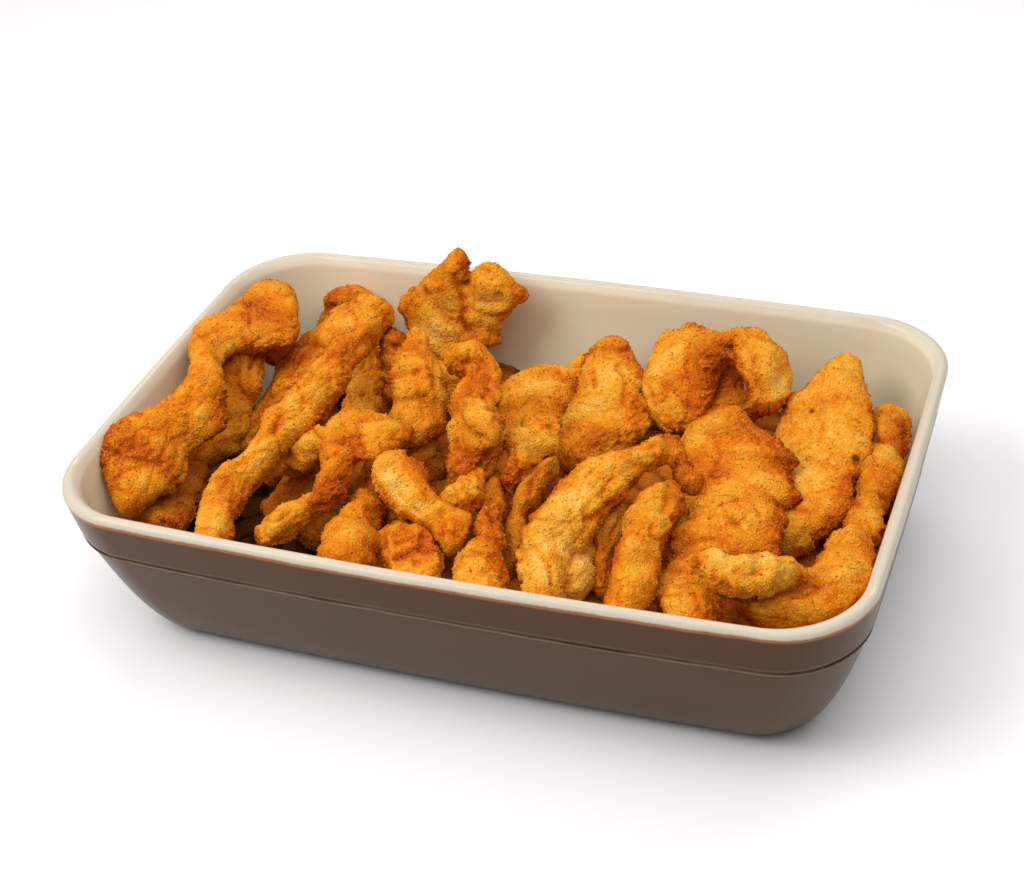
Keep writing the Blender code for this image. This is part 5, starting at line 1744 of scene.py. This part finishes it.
         (-87, 15, 47, -68, 18, 47), (-82, 8, 38, -70, 9, 38)),
    ), marks=(
        crease(2.6, 1.3, (-89, 35, 62), (-80, 33, 63), (-76, 41, 60)),
        crease(2.6, 1.2, (-89, 25, 55), (-77, 21, 58), (-71, 30, 55)), swell(9, 0.9, (-77, 17, 55)),
        brown(8, 0.2, (-84, 42, 68)), fleck(0.8, 0.7, (-83, 20, 58)),
    )),
    BreadedPiece("red_tip", 11.5, browning_and_painted_light=0.2, frill=1.4, lobes=(
        ((58, 3, 61, 62, 21, 61), (68, -5, 66, 71, 8, 66), (75, -18, 68, 78, -8, 68),
         (82, -24, 68, 86, -19, 68)),
    ), marks=(
        crag(6, 0.9, (73, -12, 72)), brown(9, 0.25, (74, -13, 72)),
    )),
    BreadedPiece("back_left_nub", 14.5, browning_and_painted_light=0.02, frill=0.8, puff=0.7, lobes=(
        ((-119, 93, 67, -107, 95, 67), (-125, 91, 62, -99, 92, 62), (-129, 89, 54, -100, 92, 54),
         (-129, 84, 48, -102, 88, 48), (-128, 82, 38, -106, 84, 38), (-126, 79, 29, -109, 81, 29)),
    ), marks=(
        crag(5, 0.7, (-118, 90, 66)), brown(5, 0.3, (-107, 93, 65)), brown(5, 0.25, (-120, 87, 64)),
        crease(2, 1.3, (-115, 91, 66), (-111, 85, 62)),
    )),
    BreadedPiece("back_mid_strip", 13.5, browning_and_painted_light=0.14, painted_shade=0.05, lobes=(
        ((-90, 76, 59, -78, 72, 59), (-89, 66, 52, -75, 67, 52), (-86, 54, 45, -74, 53, 45),
         (-81, 44, 38, -71, 43, 38)),
    ), marks=(
        crease(2, 1.2, (-88, 70, 60), (-78, 62, 56), (-77, 50, 48)), brown(6, 0.25, (-79, 71, 58)),
    )),
    BreadedPiece("fillet_under", 14.5, browning_and_painted_light=0.08, lobes=(
        ((54, -39, 67, 61, -32, 67), (52, -54, 64, 62, -46, 64), (54, -63, 60, 62, -59, 60),
         (58, -77, 56, 65, -77, 56)),
    ), marks=(
        swell(7, 0.8, (59, -49, 70)), crease(2, 1.4, (61, -47, 69), (59, -61, 65)),
        # Painted highlight: the pale patch on the swell.
        pale(7, 0.3, (59, -51, 70)), brown(7, 0.2, (59, -60, 65)),
    )),
    BreadedPiece("strip_under_fold", 13.5, browning_and_painted_light=0.14, painted_shade=0.12, lobes=(
        ((18, -20, 66, 26, -8, 66), (13, -37, 62, 25, -28, 62), (16, -56, 57, 21, -45, 57),
         (22, -73, 52, 24, -59, 52)),
    ), marks=(
        crease(2, 1.2, (21, -26, 70), (20, -40, 66)), pale(6, 0.3, (19, -44, 65)),
    )),
    BreadedPiece("forked_under", 13.5, browning_and_painted_light=0.2, painted_shade=0.3, lobes=(
        ((-86, -20, 51, -73, -27, 51), (-93, -31, 47, -73, -36, 47), (-97, -42, 42, -79, -44, 42),
         (-95, -47, 38, -83, -54, 38)),
    ), marks=(
        crag(6, 0.7, (-82, -34, 54)), brown(8, 0.2, (-84, -41, 51)),
    )),
    BreadedPiece("left_under", 15.5, browning_and_painted_light=0.14, painted_shade=0.2, lobes=(
        ((-164, -2, 33, -140, -8, 33), (-160, -32, 36, -133, -33, 36), (-153, -56, 41, -124, -57, 41),
         (-143, -68, 43, -124, -68, 43)),
    )),
    BreadedPiece("left_fold", 12.5, browning_and_painted_light=0.08, lobes=(
        ((-150, 34, 67, -129, 37, 67), (-146, 19, 61, -125, 21, 61), (-145, 9, 52, -125, 8, 52),
         (-146, -1, 41, -128, -3, 41), (-152, -5, 29, -136, -7, 29)),
    ), marks=(
        crease(1.6, 2.2, (-137, 32, 68), (-135, 16, 65)), crease(1.6, 2.0, (-130, 29, 69), (-130, 20, 66)),
        brown(7, 0.2, (-129, 11, 60)),
    )),
    BreadedPiece("middle_under", 12.5, browning_and_painted_light=0.16, painted_shade=0.35, lobes=(
        ((-48, -3, 54, -38, 9, 54), (-42, -10, 47, -30, -4, 47), (-35, -18, 40, -28, -16, 40)),
    )),
    BreadedPiece("back_sliver", 11.5, browning_and_painted_light=0.04, lobes=(
        ((4, 80, 54, 12, 86, 54), (-2, 75, 50, 13, 77, 50), (-3, 69, 45, 12, 66, 45)),
    ), marks=(
        swell(6, 0.7, (3, 74, 54)), crease(2.4, 1.3, (7, 78, 57), (8, 69, 53)),
    )),
    BreadedPiece("under_arch", 12.5, browning_and_painted_light=0.12, painted_shade=0.1, lobes=(
        ((68, 76, 60, 77, 79, 60), (69, 60, 57, 83, 65, 57), (69, 49, 54, 90, 54, 54),
         (72, 38, 50, 93, 43, 50)),
    ), marks=(
        # Painted shadow: this brown patch stands for the shade cast by the arch above.
        brown(9, 0.45, (74, 68, 63), (76, 60, 62)),
        crease(2.2, 1.2, (72, 49, 58), (80, 48, 59), (87, 54, 58)), brown(6, 0.2, (84, 42, 55)),
    )),
    BreadedPiece("front_left_under", 13.5, browning_and_painted_light=0.2, painted_shade=0.35, lobes=(
        ((-77, -22, 36, -63, -26, 36), (-83, -32, 32, -66, -35, 32), (-86, -43, 28, -70, -49, 28)),
    )),
    BreadedPiece("right_under", 13.5, browning_and_painted_light=0.12, painted_shade=0.25, lobes=(
        ((132, -52, 56, 133, -65, 56), (122, -57, 56, 123, -71, 56), (114, -61, 54, 117, -70, 54)),
    )),
    BreadedPiece("low_back_nub", 12.5, browning_and_painted_light=0.16, painted_shade=0.3, lobes=(
        ((-37, -50, 58, -30, -45, 58), (-35, -56, 56, -23, -52, 56), (-33, -59, 52, -20, -59, 52)),
    )),
)


@dataclass
class Heap:
    """All the pieces that show, lying in the dish over the lower layer."""

    dish: StonewareDish
    relief: Randomness
    fine: Randomness

    def build(self, material: bpy.types.Material) -> None:
        """Make every piece.

        Args:
            material: The crust's finish.
        """
        for seed, piece in enumerate(PIECES):
            replace(piece, seed=seed).build(self.dish, self.relief, self.fine, material)


@dataclass(frozen=True)
class SoftLight:
    """A soft rectangular light: its centre and two sides in metres, its watts and linear colour."""

    name: str
    place: tuple
    size: tuple
    power: float
    colour: tuple
    target: tuple = (0.0, 0.0, 0.05)

    def add(self) -> None:
        """Hang the light at its place, facing its target."""
        lamp = bpy.data.lights.new(self.name, "AREA")
        lamp.shape = "RECTANGLE"
        lamp.size, lamp.size_y = self.size
        lamp.energy = self.power
        lamp.color = self.colour
        light = bpy.data.objects.new(self.name, lamp)
        back = unit(np.array([self.place]) - np.array([self.target]))[0]
        side = unit(np.cross([(0.0, 0.0, 1.0)], [back]))[0]
        turn = Matrix((side, np.cross(back, side), back)).transposed().to_4x4()
        light.matrix_world = Matrix.Translation(self.place) @ turn
        bpy.context.scene.collection.objects.link(light)


@dataclass(frozen=True)
class Studio:
    """Pale floor, soft lights and the camera, whose place and three directions are millimetres."""

    focal_pixels: float = 1875.78
    image_width: int = 1024
    sensor: float = 36.0
    position: tuple = (246.4, -577.0, 511.4)
    right: tuple = (0.93783, 0.33740, -0.08145)
    down: tuple = (0.13638, -0.57398, -0.80743)
    forward: tuple = (-0.31918, 0.74613, -0.58431)
    floor_half: float = 3.0
    floor_grey: float = 0.92
    surroundings: float = 0.26
    lights: tuple[SoftLight, ...] = (
        SoftLight("key", (-0.75, -0.55, 1.15), (0.9, 0.9), 14.0, (1.0, 0.98, 0.95)),
        SoftLight("near_strip", (0.0, 0.75, 1.25), (1.8, 0.10), 3.5, (1.0, 0.98, 0.95)),
        SoftLight("far_strip", (0.0, 1.05, 1.15), (1.8, 0.10), 3.5, (1.0, 0.98, 0.95)),
        SoftLight("over", (0.35, -0.25, 1.5), (1.4, 1.4), 14.0, (1.0, 0.99, 0.97), (0.0, 0.0, 0.03)),
    )

    def floor(self) -> None:
        """Lay a wide pale floor just under the dish."""
        size = self.floor_half
        mesh = bpy.data.meshes.new("floor")
        mesh.from_pydata([(-size, -size, 0), (size, -size, 0), (size, size, 0), (-size, size, 0)],
                         [], [(0, 1, 2, 3)])
        floor = bpy.data.objects.new("floor", mesh)
        bpy.context.scene.collection.objects.link(floor)
        material = bpy.data.materials.new("pale_floor")
        material.use_nodes = True
        shader = material.node_tree.nodes["Principled BSDF"]
        shader.inputs["Base Color"].default_value = (*[self.floor_grey] * 3, 1.0)
        shader.inputs["Roughness"].default_value = 0.6
        mesh.materials.append(material)

    def camera(self) -> None:
        """Place the camera where the photograph was taken from."""
        data = bpy.data.cameras.new("camera")
        data.sensor_width = self.sensor
        data.lens = self.focal_pixels / self.image_width * self.sensor
        data.clip_start = 0.01
        camera = bpy.data.objects.new("camera", data)
        up = -np.array(self.down)
        back = -np.array(self.forward)
        turn = Matrix((self.right, up, back)).transposed().to_4x4()
        camera.matrix_world = Matrix.Translation(np.array(self.position) * MM) @ turn
        bpy.context.scene.collection.objects.link(camera)
        bpy.context.scene.camera = camera

    def build(self) -> None:
        """Set up the floor, the lights, the surroundings and the camera."""
        self.floor()
        for light in self.lights:
            light.add()
        world = bpy.data.worlds.new("surroundings")
        world.use_nodes = True
        background = world.node_tree.nodes["Background"]
        background.inputs["Color"].default_value = (1.0, 1.0, 1.0, 1.0)
        background.inputs["Strength"].default_value = self.surroundings
        bpy.context.scene.world = world
        bpy.context.scene.view_settings.view_transform = "Standard"
        self.camera()


def main() -> None:
    """Build the dish, the lower layer, the pieces and the studio, and note the sizes."""
    logging.basicConfig(level=logging.INFO, format="%(name)s: %(message)s")
    relief = Randomness(5)
    fine = Randomness(17)
    crust = FriedCrust().material()
    dish = StonewareDish()
    dish.build(relief, TwoGlazes().material())
    LowerLayer(dish).build(relief, fine, crust)
    Heap(dish, relief, fine).build(crust)
    Studio().build()


if __name__ == "__main__":
    main()
